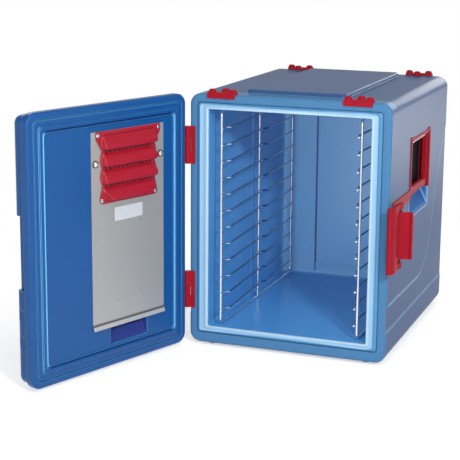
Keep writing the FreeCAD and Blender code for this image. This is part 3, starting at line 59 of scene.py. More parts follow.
# Outer shell of the body: one blue moulding with rounded edges, a raised field on the top and a sunk band
# on each side. Rotomoulded polyethylene with a fine stipple. Its edges are painted pale, a painted highlight,
# and the front rim and a strip of the top behind it are painted brighter than the sides, painted light.
def add_node(tree, kind, inputs=None, **settings):
    """New shader node with its settings and the values of its input sockets."""
    made = tree.nodes.new(kind)
    for key, value in settings.items():
        setattr(made, key, value)
    for key, value in (inputs or {}).items():
        made.inputs[key].default_value = value
    return made


def join(tree, source, output, target, entry):
    """Link from an output of one node to an input of another."""
    tree.links.new(source.outputs[output], target.inputs[entry])


def new_group(name, inputs, outputs):
    """Empty shader node group with named sockets; each input also has a start value."""
    tree = bpy.data.node_groups.new(name, "ShaderNodeTree")
    for label, kind, value in inputs:
        socket = tree.interface.new_socket(label, in_out="INPUT", socket_type="NodeSocket" + kind)
        socket.default_value = value
    for label, kind in outputs:
        tree.interface.new_socket(label, in_out="OUTPUT", socket_type="NodeSocket" + kind)
    return tree, tree.nodes.new("NodeGroupInput"), tree.nodes.new("NodeGroupOutput")


def place_group(tree, group, values):
    """Group placed in a material with its own values; a value may be the output socket of another node."""
    placed = add_node(tree, "ShaderNodeGroup", node_tree=group)
    for label, value in values.items():
        if isinstance(value, bpy.types.NodeSocket):
            tree.links.new(value, placed.inputs[label])
        else:
            placed.inputs[label].default_value = value
    return placed


def blend_colours(tree, factor, low, high):
    """Colour mix; each of low and high is a colour or the output socket of another node.

    The numbers are the places of the mix node's colour sockets.
    """
    first, second, result = 6, 7, 2
    mix = add_node(tree, "ShaderNodeMix", data_type="RGBA")
    tree.links.new(factor, mix.inputs["Factor"])
    for colour, socket in ((low, mix.inputs[first]), (high, mix.inputs[second])):
        if isinstance(colour, tuple):
            socket.default_value = (*colour, 1.0)
        else:
            tree.links.new(colour, socket)
    return mix.outputs[result]


def make_moulded_group():
    """Moulded surface: two near tints in slow clouds, edges paler as wear or as painted highlight, and a fine
    stipple.

    The edge mask grows from Edge Start to Edge Full, as the dot product of the true normal and that of a
    rounded copy falls. Wear Or Highlight is how far the paler edge colour covers it; on some pieces that is
    wear, on others a painted highlight. The stipple also breaks up the roughness.
    """
    grey = (0.5, 0.5, 0.5, 1.0)
    tree, entry, leave = new_group(
        "moulded_surface",
        [("Dark", "Color", grey), ("Light", "Color", grey), ("Worn Or Highlight", "Color", grey), ("Wear Or Highlight", "Float", 0.35),
         ("Least Rough", "Float", 0.3), ("Most Rough", "Float", 0.4), ("Grain Scale", "Float", 900.0),
         ("Grain Depth", "Float", 0.15), ("Edge Radius", "Float", 0.0015), ("Edge Start", "Float", 0.995),
         ("Edge Full", "Float", 0.85)],
        [("Base Color", "Color"), ("Roughness", "Float"), ("Normal", "Vector"), ("Edge", "Float")])
    place = add_node(tree, "ShaderNodeTexCoord")
    grain = add_node(tree, "ShaderNodeTexNoise", {"Detail": 3.0, "Roughness": 0.55})
    cloud = add_node(tree, "ShaderNodeTexNoise", {"Scale": 9.0, "Detail": 4.0, "Roughness": 0.6})
    for noise in (grain, cloud):
        join(tree, place, "Object", noise, "Vector")
    join(tree, entry, "Grain Scale", grain, "Scale")
    rounded = add_node(tree, "ShaderNodeBevel", samples=6)
    join(tree, entry, "Edge Radius", rounded, "Radius")
    bump = add_node(tree, "ShaderNodeBump", {"Distance": 0.0004})
    join(tree, entry, "Grain Depth", bump, "Strength")
    join(tree, grain, "Fac", bump, "Height")
    join(tree, rounded, "Normal", bump, "Normal")
    join(tree, bump, "Normal", leave, "Normal")
    true_face = add_node(tree, "ShaderNodeNewGeometry")
    agree = add_node(tree, "ShaderNodeVectorMath", operation="DOT_PRODUCT")
    join(tree, rounded, "Normal", agree, 0)
    join(tree, true_face, "Normal", agree, 1)
    edge = add_node(tree, "ShaderNodeMapRange")
    join(tree, agree, "Value", edge, "Value")
    join(tree, entry, "Edge Start", edge, "From Min")
    join(tree, entry, "Edge Full", edge, "From Max")
    join(tree, edge, "Result", leave, "Edge")
    rub_or_highlight = add_node(tree, "ShaderNodeMath", operation="MULTIPLY")
    join(tree, edge, "Result", rub_or_highlight, 0)
    join(tree, entry, "Wear Or Highlight", rub_or_highlight, 1)
    tint = blend_colours(tree, cloud.outputs["Fac"], entry.outputs["Dark"], entry.outputs["Light"])
    tree.links.new(blend_colours(tree, rub_or_highlight.outputs["Value"], tint, entry.outputs["Worn Or Highlight"]),
                   leave.inputs["Base Color"])
    gloss = add_node(tree, "ShaderNodeMapRange")
    join(tree, grain, "Fac", gloss, "Value")
    join(tree, entry, "Least Rough", gloss, "To Min")
    join(tree, entry, "Most Rough", gloss, "To Max")
    join(tree, gloss, "Result", leave, "Roughness")
    return tree


moulded_group = make_moulded_group()


def new_material(name, group, values, plain):
    """Material with colour, roughness and normal from a group; plain values go on the shader itself."""
    made = bpy.data.materials.new(name)
    made.use_nodes = True
    shader = made.node_tree.nodes["Principled BSDF"]
    surface = place_group(made.node_tree, group, values)
    for label in ("Base Color", "Roughness", "Normal"):
        join(made.node_tree, surface, label, shader, label)
    for label, value in plain.items():
        shader.inputs[label].default_value = value
    return made


def moulded_plastic(name, dark, light, worn_or_highlight, rough, grain=900.0, depth=0.15, edge=0.0015, specular=0.5,
                    wear_or_highlight=0.35):
    """Moulded plastic; its roughness swings from a little under rough to a little over it."""
    under, over = 0.05, 0.07
    return new_material(
        name, moulded_group,
        {"Dark": (*dark, 1.0), "Light": (*light, 1.0), "Worn Or Highlight": (*worn_or_highlight, 1.0), "Wear Or Highlight": wear_or_highlight,
         "Least Rough": rough - under, "Most Rough": rough + over, "Grain Scale": grain, "Grain Depth": depth,
         "Edge Radius": edge},
        {"Specular IOR Level": specular})


def overlay(material, mask, colour, rough=None):
    """Lay a second colour, and a second roughness where one is given, over a finished material by a mask.

    The numbers are the places of the mix node's sockets for plain values.
    """
    tree = material.node_tree
    shader = tree.nodes["Principled BSDF"]
    entry = shader.inputs["Base Color"]
    tree.links.new(blend_colours(tree, mask, entry.links[0].from_socket, colour), entry)
    if rough:
        first, second, result = 2, 3, 0
        entry = shader.inputs["Roughness"]
        mix = add_node(tree, "ShaderNodeMix", {second: rough})
        tree.links.new(mask, mix.inputs["Factor"])
        tree.links.new(entry.links[0].from_socket, mix.inputs[first])
        tree.links.new(mix.outputs[result], entry)


def own_place(material):
    """Output socket with the place on the piece, in the piece's own coordinates."""
    return add_node(material.node_tree, "ShaderNodeTexCoord").outputs["Object"]


def make_box_group():
    """Mask that is 1 inside a box.

    A place is inside where half the box's size, less its distance from the middle, is above 0 each way.
    """
    tree, entry, leave = new_group(
        "inside_box",
        [("Place", "Vector", (0.0, 0.0, 0.0)), ("Middle", "Vector", (0.0, 0.0, 0.0)),
         ("Half", "Vector", (1.0, 1.0, 1.0))],
        [("Inside", "Float")])
    apart = add_node(tree, "ShaderNodeVectorMath", operation="SUBTRACT")
    join(tree, entry, "Place", apart, 0)
    join(tree, entry, "Middle", apart, 1)
    away = add_node(tree, "ShaderNodeVectorMath", operation="ABSOLUTE")
    join(tree, apart, "Vector", away, 0)
    room = add_node(tree, "ShaderNodeVectorMath", operation="SUBTRACT")
    join(tree, entry, "Half", room, 0)
    join(tree, away, "Vector", room, 1)
    axes = add_node(tree, "ShaderNodeSeparateXYZ")
    join(tree, room, "Vector", axes, "Vector")
    level = add_node(tree, "ShaderNodeMath", operation="MINIMUM")
    join(tree, axes, "X", level, 0)
    join(tree, axes, "Y", level, 1)
    least = add_node(tree, "ShaderNodeMath", operation="MINIMUM")
    join(tree, level, "Value", least, 0)
    join(tree, axes, "Z", least, 1)
    inside = add_node(tree, "ShaderNodeMath", {1: 0.0}, operation="GREATER_THAN")
    join(tree, least, "Value", inside, 0)
    join(tree, inside, "Value", leave, "Inside")
    return tree


box_group = make_box_group()


def box_mask(material, place, low, high):
    """Mask of the box between two opposite corners, at the place that an output socket gives."""
    low, high = Vector(low), Vector(high)
    box = place_group(material.node_tree, box_group,
                      {"Place": place, "Middle": (low + high) / 2, "Half": (high - low) / 2})
    return box.outputs["Inside"]


def make_fade_group():
    """Mask that grows from 0 at Start to 1 at Full, measured along a direction; Soft eases both its ends."""
    tree, entry, leave = new_group(
        "fade_along",
        [("Place", "Vector", (0.0, 0.0, 0.0)), ("Direction", "Vector", (0.0, 0.0, 1.0)),
         ("Start", "Float", 0.0), ("Full", "Float", 1.0)],
        [("Even", "Float"), ("Soft", "Float")])
    along = add_node(tree, "ShaderNodeVectorMath", operation="DOT_PRODUCT")
    join(tree, entry, "Place", along, 0)
    join(tree, entry, "Direction", along, 1)
    for label, easing in (("Even", "LINEAR"), ("Soft", "SMOOTHSTEP")):
        ramp = add_node(tree, "ShaderNodeMapRange", interpolation_type=easing)
        join(tree, along, "Value", ramp, "Value")
        join(tree, entry, "Start", ramp, "From Min")
        join(tree, entry, "Full", ramp, "From Max")
        join(tree, ramp, "Result", leave, label)
    return tree


fade_group = make_fade_group()


def fade_mask(material, direction, start, full, kind="Even"):
    """Fade along a direction in the piece's own coordinates."""
    fade = place_group(material.node_tree, fade_group,
                       {"Place": own_place(material), "Direction": direction, "Start": start, "Full": full})
    return fade.outputs[kind]


def dress(material, *names):
    """Give CAD nodes a finished material."""
    for name in names:
        mesh = nodes[name].data
        mesh.materials.clear()
        mesh.materials.append(material)


rearward, beyond = (0.0, 1.0, 0.0), 1.0
front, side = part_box("body_outer_shell")[0][1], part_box("body_outer_shell")[1][0]
tray_low, tray_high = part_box("handle_tray_right")
# Pale edge colour at full share on the shell: a painted highlight along its edges.
edge_highlight_blue, rim_blue = (0.30, 0.56, 0.90), (0.075, 0.220, 0.425)
shell_blue = moulded_plastic("shell_blue_plastic", dark=(0.030, 0.082, 0.215), light=(0.046, 0.108, 0.260),
                             worn_or_highlight=edge_highlight_blue, rough=0.38, edge=0.004, specular=0.10, wear_or_highlight=1.0)
shell_place = own_place(shell_blue)

# Front rim and a strip of the top behind it painted brighter, more cyan blue: painted light.
rim_end, rim_blur = front + 0.005, 0.009
rim_painted_light = fade_mask(shell_blue, rearward, rim_end + rim_blur, rim_end)
overlay(shell_blue, rim_painted_light, rim_blue)
strip_end, strip_low, strip_high = front + 0.051, 0.582, 0.598
top_strip_painted_light = box_mask(shell_blue, shell_place, (-beyond, -beyond, strip_low), (beyond, strip_end, strip_high))
overlay(shell_blue, top_strip_painted_light, rim_blue)

# Inside of the handle recess painted near black and made rough: painted shade.
recess_reach = side - 0.006
recess_shade = box_mask(shell_blue, shell_place, (-recess_reach, *tray_low[1:]), (recess_reach, *tray_high[1:]))
overlay(shell_blue, recess_shade, (0.006, 0.008, 0.014), rough=0.85)
# The scoop under the tray painted a deeper blue and made rough: painted shade.
scoop_reach, scoop_drop, scoop_spare = side - 0.0008, 0.048, 0.004
scoop_shade = box_mask(shell_blue, shell_place,
                 (-scoop_reach, tray_low[1], tray_low[2] - scoop_drop - scoop_spare),
                 (scoop_reach, tray_high[1], tray_low[2] + scoop_spare))
overlay(shell_blue, scoop_shade, (0.040, 0.150, 0.440), rough=0.80)

# A wider pale line along the edges of the sunk side band: painted highlight.
band_low, band_high = (-beyond, -0.275, 0.100), (beyond, 0.255, 0.500)
band_edges = place_group(shell_blue.node_tree, moulded_group,
                         {"Edge Radius": 0.009, "Edge Start": 0.998, "Edge Full": 0.95})
band_highlight = add_node(shell_blue.node_tree, "ShaderNodeMath", operation="MULTIPLY")
join(shell_blue.node_tree, band_edges, "Edge", band_highlight, 0)
shell_blue.node_tree.links.new(box_mask(shell_blue, shell_place, band_low, band_high), band_highlight.inputs[1])
overlay(shell_blue, band_highlight.outputs["Value"], edge_highlight_blue)
dress(shell_blue, "body_outer_shell")

# Foam in the body and in the door: rigid cream polyurethane between the outer and the inner moulding.
# It is poured in as a liquid and sets there, so it grips both sides and needs no fixing.
foam_cream = moulded_plastic("foam_cream", dark=(0.70, 0.60, 0.36), light=(0.80, 0.72, 0.50),
                             worn_or_highlight=(0.85, 0.80, 0.62), rough=0.9, grain=300.0, depth=0.6)
dress(foam_cream, "body_insulation", "door_insulation")

# Inner liner: blue moulding with a neck, a step and a plain cavity, joined to the shell behind the seal.
# Smoother and a little glossier than the outside, so the floor mirrors the racks.
# The rear and right walls are painted paler, a painted sheen, and the upright steps of the sunk rear panel
# are painted dark, painted shade.
liner_blue = moulded_plastic("liner_blue_plastic", dark=(0.082, 0.345, 0.740), light=(0.106, 0.395, 0.820),
                             worn_or_highlight=(0.28, 0.58, 0.92), rough=0.24, grain=600.0, depth=0.05, edge=0.003,
                             specular=1.0, wear_or_highlight=0.12)
rightward = (1.0, 0.0, 0.0)
# Rear and right walls of the cavity painted paler: painted sheen.
painted_sheen_walls = ((rearward, 0.240, 0.262), (rightward, 0.186, 0.195))
for direction, start, full in painted_sheen_walls:
    overlay(liner_blue, fade_mask(liner_blue, direction, start, full), (0.280, 0.620, 0.930))
# Dark lines on the upright steps of the sunk rear panel: painted shade.
panel_half, step_half = 0.103, 0.002
step_start, step_end, step_low, step_high = 0.256, 0.280, 0.050, 0.550
for step in (-panel_half, panel_half):
    step_shade = box_mask(liner_blue, own_place(liner_blue), (step - step_half, step_start, step_low),
                    (step + step_half, step_end, step_high))
    overlay(liner_blue, step_shade, (0.040, 0.150, 0.420))
dress(liner_blue, "body_inner_liner")


# Seal: soft pale blue moulding pressed into the rebate round the mouth, with a darker outer flank, a shallow
# hollow and a rounded inner lip. Cut from one strip and bent round the corners, so it lies a little wavy.
def grid_piece(name, points, wrap=(False, False), facing=None, masks=None):
    """Smooth mesh of quads over a grid of points; wrap joins the last row or column to the first.

    Faces point along facing on an open sheet, and away from the inside on a closed one.
    """
    rows, columns = points.shape[:2]
    index = np.arange(rows * columns).reshape(rows, columns)
    index = np.vstack([index, index[:1]]) if wrap[0] else index
    index = np.hstack([index, index[:, :1]]) if wrap[1] else index
    quads = np.stack([index[:-1, :-1], index[:-1, 1:], index[1:, 1:], index[1:, :-1]], axis=-1).reshape(-1, 4)
    flat = points.reshape(-1, 3)
    a, b, c, d = (flat[quads[:, corner]] for corner in range(4))
    normals = np.cross(c - a, d - b)
    outward = np.sum(normals @ np.array(facing)) if facing else np.sum(normals * (a + c) / 2)
    if outward < 0:
        quads = quads[:, ::-1]
    mesh = bpy.data.meshes.new(name)
    mesh.from_pydata(flat.tolist(), [], quads.tolist())
    mesh.shade_smooth()
    for label, values in (masks or {}).items():
        layer = mesh.attributes.new(label, "FLOAT", "POINT")
        layer.data.foreach_set("value", values.astype(np.float32).ravel())
    piece = bpy.data.objects.new(name, mesh)
    bpy.context.scene.collection.objects.link(piece)
    return piece


def carry_round(box, radius, arc_steps=9, side_steps=28):
    """Loops round rounded rectangles, one for each row of box (left, right, low, high) and radius.

    Each corner is a quarter circle; each straight side runs evenly from one corner's end to the next.
    """
    quarter = np.radians(np.linspace(0.0, 90.0, arc_steps))
    turn = quarter[None, :] + np.radians([0.0, 90.0, 180.0, 270.0])[:, None]
    on_right, on_top = np.array([True, False, False, True]), np.array([True, True, False, False])
    middle_x = np.where(on_right, box[:, 1:2] - radius[:, None], box[:, 0:1] + radius[:, None])
    middle_z = np.where(on_top, box[:, 3:4] - radius[:, None], box[:, 2:3] + radius[:, None])
    x = (middle_x[:, :, None] + radius[:, None, None] * np.cos(turn)).reshape(len(box), -1)
    z = (middle_z[:, :, None] + radius[:, None, None] * np.sin(turn)).reshape(len(box), -1)
    corner = np.concatenate([np.arange(arc_steps), arc_steps - 1 + np.arange(1, side_steps) / side_steps])
    steps = (corner[None, :] + arc_steps * np.arange(4)[:, None]).ravel()
    low = np.floor(steps).astype(int)
    high, part = (low + 1) % (4 * arc_steps), steps - low
    return x[:, low] * (1 - part) + x[:, high] * part, z[:, low] * (1 - part) + z[:, high] * part


def seal_surface(outer, inner, radii, profile, held):
    """Profile carried round the mouth, with each point's distance from the outer and from the inner edge.

    Each profile point has a share across, 0 at the outer rectangle and 1 at the inner one, and a depth.
    Its loop is the rounded rectangle at that share between the two. In front of the depth where the strip
    is held, the inner part of the face sinks back a little, with a slow ripple of three sine waves.
    """
    ripple_height, sink, flat_share, blend_share = 0.00012, 0.00035, 0.3, 0.4
    pace_x, pace_z, waves = 31.0, 27.0, ((3.1, 0.0, 1.0), (7.3, 1.0, 1.0), (13.7, 2.0, 0.6))
    share, depth = profile[:, 0], profile[:, 1]
    x, z = carry_round(outer[None, :] * (1 - share[:, None]) + inner[None, :] * share[:, None],
                       radii[0] * (1 - share) + radii[1] * share)
    run = pace_x * x + pace_z * z
    ripple = ripple_height * sum(tall * np.sin(pace * run + shift) for pace, shift, tall in waves)
    lip = np.clip((share - flat_share) / blend_share, 0.0, 1.0) * (depth < held)
    y = depth[:, None] + (ripple + sink) * lip[:, None]
    inmost = np.argmax(share)
    width = np.hypot(x[0] - x[inmost], z[0] - z[inmost])
    return np.stack([x, y, z], axis=-1), share[:, None] * width, (1.0 - share[:, None]) * width


seal_low, seal_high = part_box("opening_seal")
seal_front, seal_back = seal_low[1], seal_high[1]
rebate = np.array([seal_low[0], seal_high[0], seal_low[2], seal_high[2]])
mouth = np.array([-0.194, 0.194, 0.042, 0.562])
rebate_radius, mouth_radius = 0.008, 0.004
face_profile = np.array([
    (0.000, 0.0040), (0.020, 0.0026), (0.060, 0.0019), (0.120, 0.0014), (0.175, 0.0009), (0.215, 0.0003),
    (0.250, 0.0001), (0.285, 0.0004), (0.340, 0.0012), (0.440, 0.0016), (0.560, 0.0016), (0.680, 0.0012),
    (0.760, 0.0006), (0.820, 0.0001), (0.880, 0.0000), (0.930, 0.0003), (0.970, 0.0010), (0.995, 0.0022),
    (1.000, 0.0040)])
seal_profile = np.vstack([[(0.000, seal_back)], face_profile + (0.0, seal_front),
                          [(0.990, seal_back), (0.500, seal_back)]])
held_depth = front + 0.0015
seal_points, from_outside, from_mouth = seal_surface(rebate, mouth, (rebate_radius, mouth_radius),
                                                     seal_profile, held_depth)
flank_width, lip_width, blur = 0.0065, 0.0060, 0.0012
right_start, right_blur, right_extra = 0.190, 0.004, 0.0045
on_right = np.clip((seal_points[..., 0] - right_start) / right_blur, 0.0, 1.0)
seal_masks = {"flank": np.clip((flank_width + right_extra * on_right - from_outside) / blur, 0.0, 1.0),
              "lip": np.clip((lip_width - from_mouth) / blur, 0.0, 1.0)}
seal = grid_piece("mouth_seal", seal_points, wrap=(True, True), masks=seal_masks)
seal_pale = moulded_plastic("seal_pale_rubber", dark=(0.26, 0.49, 0.73), light=(0.34, 0.57, 0.80),
                            worn_or_highlight=(0.55, 0.75, 0.92), rough=0.34, grain=180.0, depth=0.10)


def overlay_marked(material, colours):
    """Lay a colour over a material wherever the mesh attribute of each given name is set."""
    for name, colour in colours.items():
        mark = add_node(material.node_tree, "ShaderNodeAttribute", attribute_name=name)
        overlay(material, mark.outputs["Fac"], colour)


overlay_marked(seal_pale, {"flank": (0.075, 0.270, 0.520), "lip": (0.50, 0.70, 0.86)})
seal.data.materials.append(seal_pale)
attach(seal, "cabinet")
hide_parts("opening_seal")

# Feet: four short round pads of black rubber under the corners of the body.
# Each is moulded in one piece and sits in a round seat in the underside, so a worn one can be changed.
foot_black = moulded_plastic("foot_rubber", dark=(0.012, 0.012, 0.013), light=(0.022, 0.022, 0.024),
                             worn_or_highlight=(0.08, 0.08, 0.08), rough=0.7, grain=700.0, depth=0.3)
four_corners = ["front_left", "front_right", "rear_left", "rear_right"]
dress(foot_black, *["foot_" + corner for corner in four_corners])


# Racks: stainless wire, each rack a bent frame with a middle upright and twelve sawtooth rails welded across.
# The frame and the noses of the rails are polished bright. Between the uprights the rails are painted
# darker and bluer: painted shade and a painted reflection of the blue walls.
def make_drawn_group():
    """Drawn or brushed metal: noise stretched along one axis as fine lines, and rounded edges.

    The lines swing the colour between two tints and the roughness between two values.
    """
    grey = (0.5, 0.5, 0.5, 1.0)
    tree, entry, leave = new_group(
        "drawn_metal",
        [("Dark", "Color", grey), ("Light", "Color", grey), ("Least Rough", "Float", 0.2),
         ("Most Rough", "Float", 0.3), ("Stretch", "Vector", (1.0, 1.0, 1.0)), ("Line Depth", "Float", 0.05)],
        [("Base Color", "Color"), ("Roughness", "Float"), ("Normal", "Vector")])
    place = add_node(tree, "ShaderNodeTexCoord")
    stretched = add_node(tree, "ShaderNodeVectorMath", operation="MULTIPLY")
    join(tree, place, "Object", stretched, 0)
    join(tree, entry, "Stretch", stretched, 1)
    lines = add_node(tree, "ShaderNodeTexNoise", {"Scale": 40.0, "Detail": 4.0, "Roughness": 0.65})
    join(tree, stretched, "Vector", lines, "Vector")
    tree.links.new(blend_colours(tree, lines.outputs["Fac"], entry.outputs["Dark"], entry.outputs["Light"]),
                   leave.inputs["Base Color"])
    rounded = add_node(tree, "ShaderNodeBevel", {"Radius": 0.0008}, samples=4)
    bump = add_node(tree, "ShaderNodeBump", {"Distance": 0.0003})
    join(tree, entry, "Line Depth", bump, "Strength")
    join(tree, lines, "Fac", bump, "Height")
    join(tree, rounded, "Normal", bump, "Normal")
    join(tree, bump, "Normal", leave, "Normal")
    gloss = add_node(tree, "ShaderNodeMapRange")
    join(tree, lines, "Fac", gloss, "Value")
    join(tree, entry, "Least Rough", gloss, "To Min")
    join(tree, entry, "Most Rough", gloss, "To Max")
    join(tree, gloss, "Result", leave, "Roughness")
    return tree


drawn_group = make_drawn_group()


def metal(name, dark, light, rough, stretch, depth=0.05, bare=1.0):
    """Metal with fine drawn lines; bare is how metallic its face is."""
    under, over = 0.06, 0.08
    return new_material(
        name, drawn_group,
        {"Dark": (*dark, 1.0), "Light": (*light, 1.0), "Least Rough": rough - under,
         "Most Rough": rough + over, "Stretch": stretch, "Line Depth": depth},
        {"Metallic": bare})


wire_steel = metal("bright_wire", dark=(0.72, 0.73, 0.75), light=(0.90, 0.91, 0.92), rough=0.16,
                   stretch=(6.0, 6.0, 6.0))
rack_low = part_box("rack_left")[0]
rail_start, bottom_wire = rack_low[1] + 0.034, rack_low[2] + 0.012
# Rails between the uprights painted darker and bluer: painted shade and painted reflection.
upright_front, upright_back, rear_upright = -0.0245, -0.0125, 0.2400
for start, end in ((rail_start, upright_front), (upright_back, rear_upright)):
    rail_shade = box_mask(wire_steel, own_place(wire_steel), (-beyond, start, bottom_wire), (beyond, end, beyond))
    overlay(wire_steel, rail_shade, (0.28, 0.30, 0.38))
dress(wire_steel, "rack_left", "rack_right")

# Stacking corners: red nylon mouldings that clasp the four top corners of the body.
# Each has three domed pegs, which keep a second box on top from sliding off.
# Pale pink edges on the red nylon are partly wear and partly a painted highlight.
nylon_red = moulded_plastic("red_nylon", dark=(0.33, 0.008, 0.018), light=(0.41, 0.010, 0.026),
                            worn_or_highlight=(0.70, 0.09, 0.13), rough=0.50, grain=1400.0, depth=0.06, edge=0.0016,
                            specular=0.08)
dress(nylon_red, *["stacking_corner_" + corner for corner in four_corners])

# Carrying handles: a red nylon tray in each side recess, with a red drop bail on a steel cross pin.
# The pin runs through the bail and is held in the tray's ends, so the bail swings out and up.
dress(nylon_red, "handle_tray_left", "handle_tray_right", "handle_bail_left", "handle_bail_right")
dull_steel = metal("dull_pin_steel", dark=(0.20, 0.20, 0.19), light=(0.30, 0.30, 0.29), rough=0.36,
                   stretch=(4.0, 40.0, 40.0))
dress(dull_steel, "handle_pin_left", "handle_pin_right")

# Hinges: an upper and a lower pair of red nylon leaves on bright steel pins.
# One leaf is let into the front rim of the body and the other into the door's edge.
dress(nylon_red, "hinge_body_leaf_upper", "hinge_body_leaf_lower", "hinge_door_leaf_upper",
      "hinge_door_leaf_lower")
pin_steel = metal("pin_steel", dark=(0.60, 0.60, 0.61), light=(0.78, 0.78, 0.79), rough=0.24,
                  stretch=(4.0, 40.0, 40.0))
dress(pin_steel, "hinge_pin_upper", "hinge_pin_lower")

# Draw latch: red nylon base on the right side with a strip up to the handle tray, and a grip lever.
# The lever turns on a pivot pin and carries a hook on its crank pin. Both pins are blackened steel.
dress(nylon_red, "latch_base", "latch_lever", "latch_hook")
black_steel = metal("blackened_steel", dark=(0.020, 0.016, 0.016), light=(0.035, 0.030, 0.030), rough=0.55,
                    stretch=(40.0, 40.0, 4.0))
dress(black_steel, "latch_pivot_pin", "latch_crank_pin")

# Door: blue outer shell and inner panel, moulded like the body and joined round a foam core.
# The panel has the air duct formed in it, which opens into a pocket at the foot of the guide plate.
# A thin double bead runs round its inner face. The door's edges and the bead's flanks along the sides are
# painted pale as a painted highlight; the bead's valley along the top and bottom and the pocket are
# painted dark as painted shade.
# The door's edges are painted pale with a high share: a painted highlight.
door_blue = moulded_plastic("door_blue_plastic", dark=(0.002, 0.074, 0.270), light=(0.005, 0.092, 0.325),
                            worn_or_highlight=(0.10, 0.38, 0.74), rough=0.32, edge=0.003, specular=0.35, wear_or_highlight=0.85)
dress(door_blue, "door_outer_shell")
pin_x, pin_y = -0.244, -0.302
opened = math.radians(110.0)


def door_points(x, y, z):
    """Points drawn on the closed door, turned about the hinge pin to the open rest position."""
    reach, depth = x - pin_x, y - pin_y
    return np.stack([pin_x + reach * math.cos(opened) + depth * math.sin(opened),
                     pin_y - reach * math.sin(opened) + depth * math.cos(opened), z], axis=-1)


def soften_corners(profile, size):
    """Closed profile with each corner cut back by a small size along both of its sides."""
    before, after = np.roll(profile, 1, axis=0) - profile, np.roll(profile, -1, axis=0) - profile
    ends = [profile + size * way / np.linalg.norm(way, axis=1, keepdims=True) for way in (before, after)]
    return np.stack(ends, axis=1).reshape(-1, 2)


def bead_surface(profile, half_width, height, radius, face):
    """Profile of distances from the door's edges and heights over its face, carried round the door.

    Also gives how upright the loop runs at each step, 1 along the sides and 0 along the top and bottom.
    """
    inset, rise = profile[:, 0], profile[:, 1]
    box = np.stack([inset - half_width, half_width - inset, inset, height - inset], axis=1)
    x, z = carry_round(box, np.full(len(inset), radius))
    along = np.stack([np.roll(side[0], -1) - np.roll(side[0], 1) for side in (x, z)])
    upright = np.abs(along[1]) / np.linalg.norm(along, axis=0)
    return door_points(x, face + np.repeat(rise[:, None], x.shape[1], axis=1), z), upright


door_face, door_half, door_height = -0.304, 0.240, 0.597
bead_radius, corner_cut = 0.010, 0.0002
bead_profile = soften_corners(np.array([
    (0.0286, -0.0003), (0.0319, 0.00325), (0.0381, 0.00325), (0.0412, 0.0003), (0.0426, 0.0003),
    (0.0443, 0.0020), (0.0452, 0.0020), (0.0470, -0.0003)]), corner_cut)
bead_points, upright = bead_surface(bead_profile, door_half, door_height, bead_radius, door_face)
flank_rows, valley_rows = [1, 2, 5, 6, 9, 10], [6, 7, 8, 9]
flanks, valley = np.zeros(len(bead_profile)), np.zeros(len(bead_profile))
flanks[flank_rows] = 1.0
valley[valley_rows] = 1.0
# Bead flanks along the sides painted pale, painted highlight; its valley along top and bottom painted dark,
# painted shade.
bead_masks = {"painted_highlight": flanks[:, None] * upright, "painted_shade": valley[:, None] * (1.0 - upright)}
bead = grid_piece("door_bead", bead_points, wrap=(True, True), masks=bead_masks)
bead_blue = door_blue.copy()
bead_blue.name = "bead_blue_plastic"
overlay_marked(bead_blue, {"painted_highlight": (0.170, 0.540, 0.880), "painted_shade": (0.002, 0.030, 0.140)})
bead.data.materials.append(bead_blue)
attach(bead, "door")

panel_blue = door_blue.copy()
panel_blue.name = "panel_blue_plastic"
closed = add_node(panel_blue.node_tree, "ShaderNodeVectorRotate",
                  {"Center": (pin_x, pin_y, 0.0), "Angle": opened}, rotation_type="Z_AXIS")
panel_blue.node_tree.links.new(own_place(panel_blue), closed.inputs["Vector"])
unit_x, pocket_half, pocket_low, pocket_height = -0.050, 0.0585, 0.0515, 0.060
pocket_face, pocket_deep = door_face - 0.001, 0.060
# The pocket under the guide plate painted darker: painted shade.
pocket_shade = box_mask(panel_blue, closed.outputs["Vector"],
                  (unit_x - pocket_half, pocket_face - pocket_deep, pocket_low),
                  (unit_x + pocket_half, pocket_face, pocket_low + pocket_height))
overlay(panel_blue, pocket_shade, (0.034, 0.055, 0.280))
dress(panel_blue, "door_inner_panel")

# Heating unit: satin stainless guide plate with a folded lip, screws, quarter-turn fasteners and rivets.
# The plate closes the air duct in the door and turns the warm air into the cavity.
# Behind it are the fan, the tubular element and the probe, and on its face a small bare plate is glued.
plate_steel = metal("satin_sheet", dark=(0.40, 0.395, 0.38), light=(0.50, 0.495, 0.48), rough=0.42,
                    stretch=(30.0, 30.0, 1.0), depth=0.06, bare=0.45)
dress(plate_steel, "heating_element")
guide_steel = plate_steel.copy()
guide_steel.name = "folded_sheet"
upward, plate_low = (0.0, 0.0, 1.0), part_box("air_guide_plate")[0][2]
crease_top, crease_dark, lip_start, lip_top = (plate_low + rise for rise in (0.0170, 0.0105, 0.0095, 0.0080))
# Dark band above the fold: painted shade in the crease. Paler lip below it: painted highlight.
crease_shade = fade_mask(guide_steel, upward, crease_top, crease_dark, kind="Soft")
overlay(guide_steel, crease_shade, (0.120, 0.120, 0.122))
lip_highlight = fade_mask(guide_steel, upward, lip_start, lip_top)
overlay(guide_steel, lip_highlight, (0.62, 0.62, 0.61))
dress(guide_steel, "air_guide_plate")
bare_plate = metal("bare_plate", dark=(0.66, 0.69, 0.72), light=(0.76, 0.79, 0.82), rough=0.42,
                   stretch=(30.0, 30.0, 1.0), depth=0.03, bare=0.2)
dress(bare_plate, "blank_plate")
dress(pin_steel, "louvre_screws", "plate_rivets", "thermostat_probe")
cast_metal = metal("cast_metal", dark=(0.42, 0.46, 0.52), light=(0.55, 0.59, 0.64), rough=0.35,
                   stretch=(30.0, 30.0, 4.0), depth=0.1)
dress(cast_metal, "fan_motor", "fan_impeller")

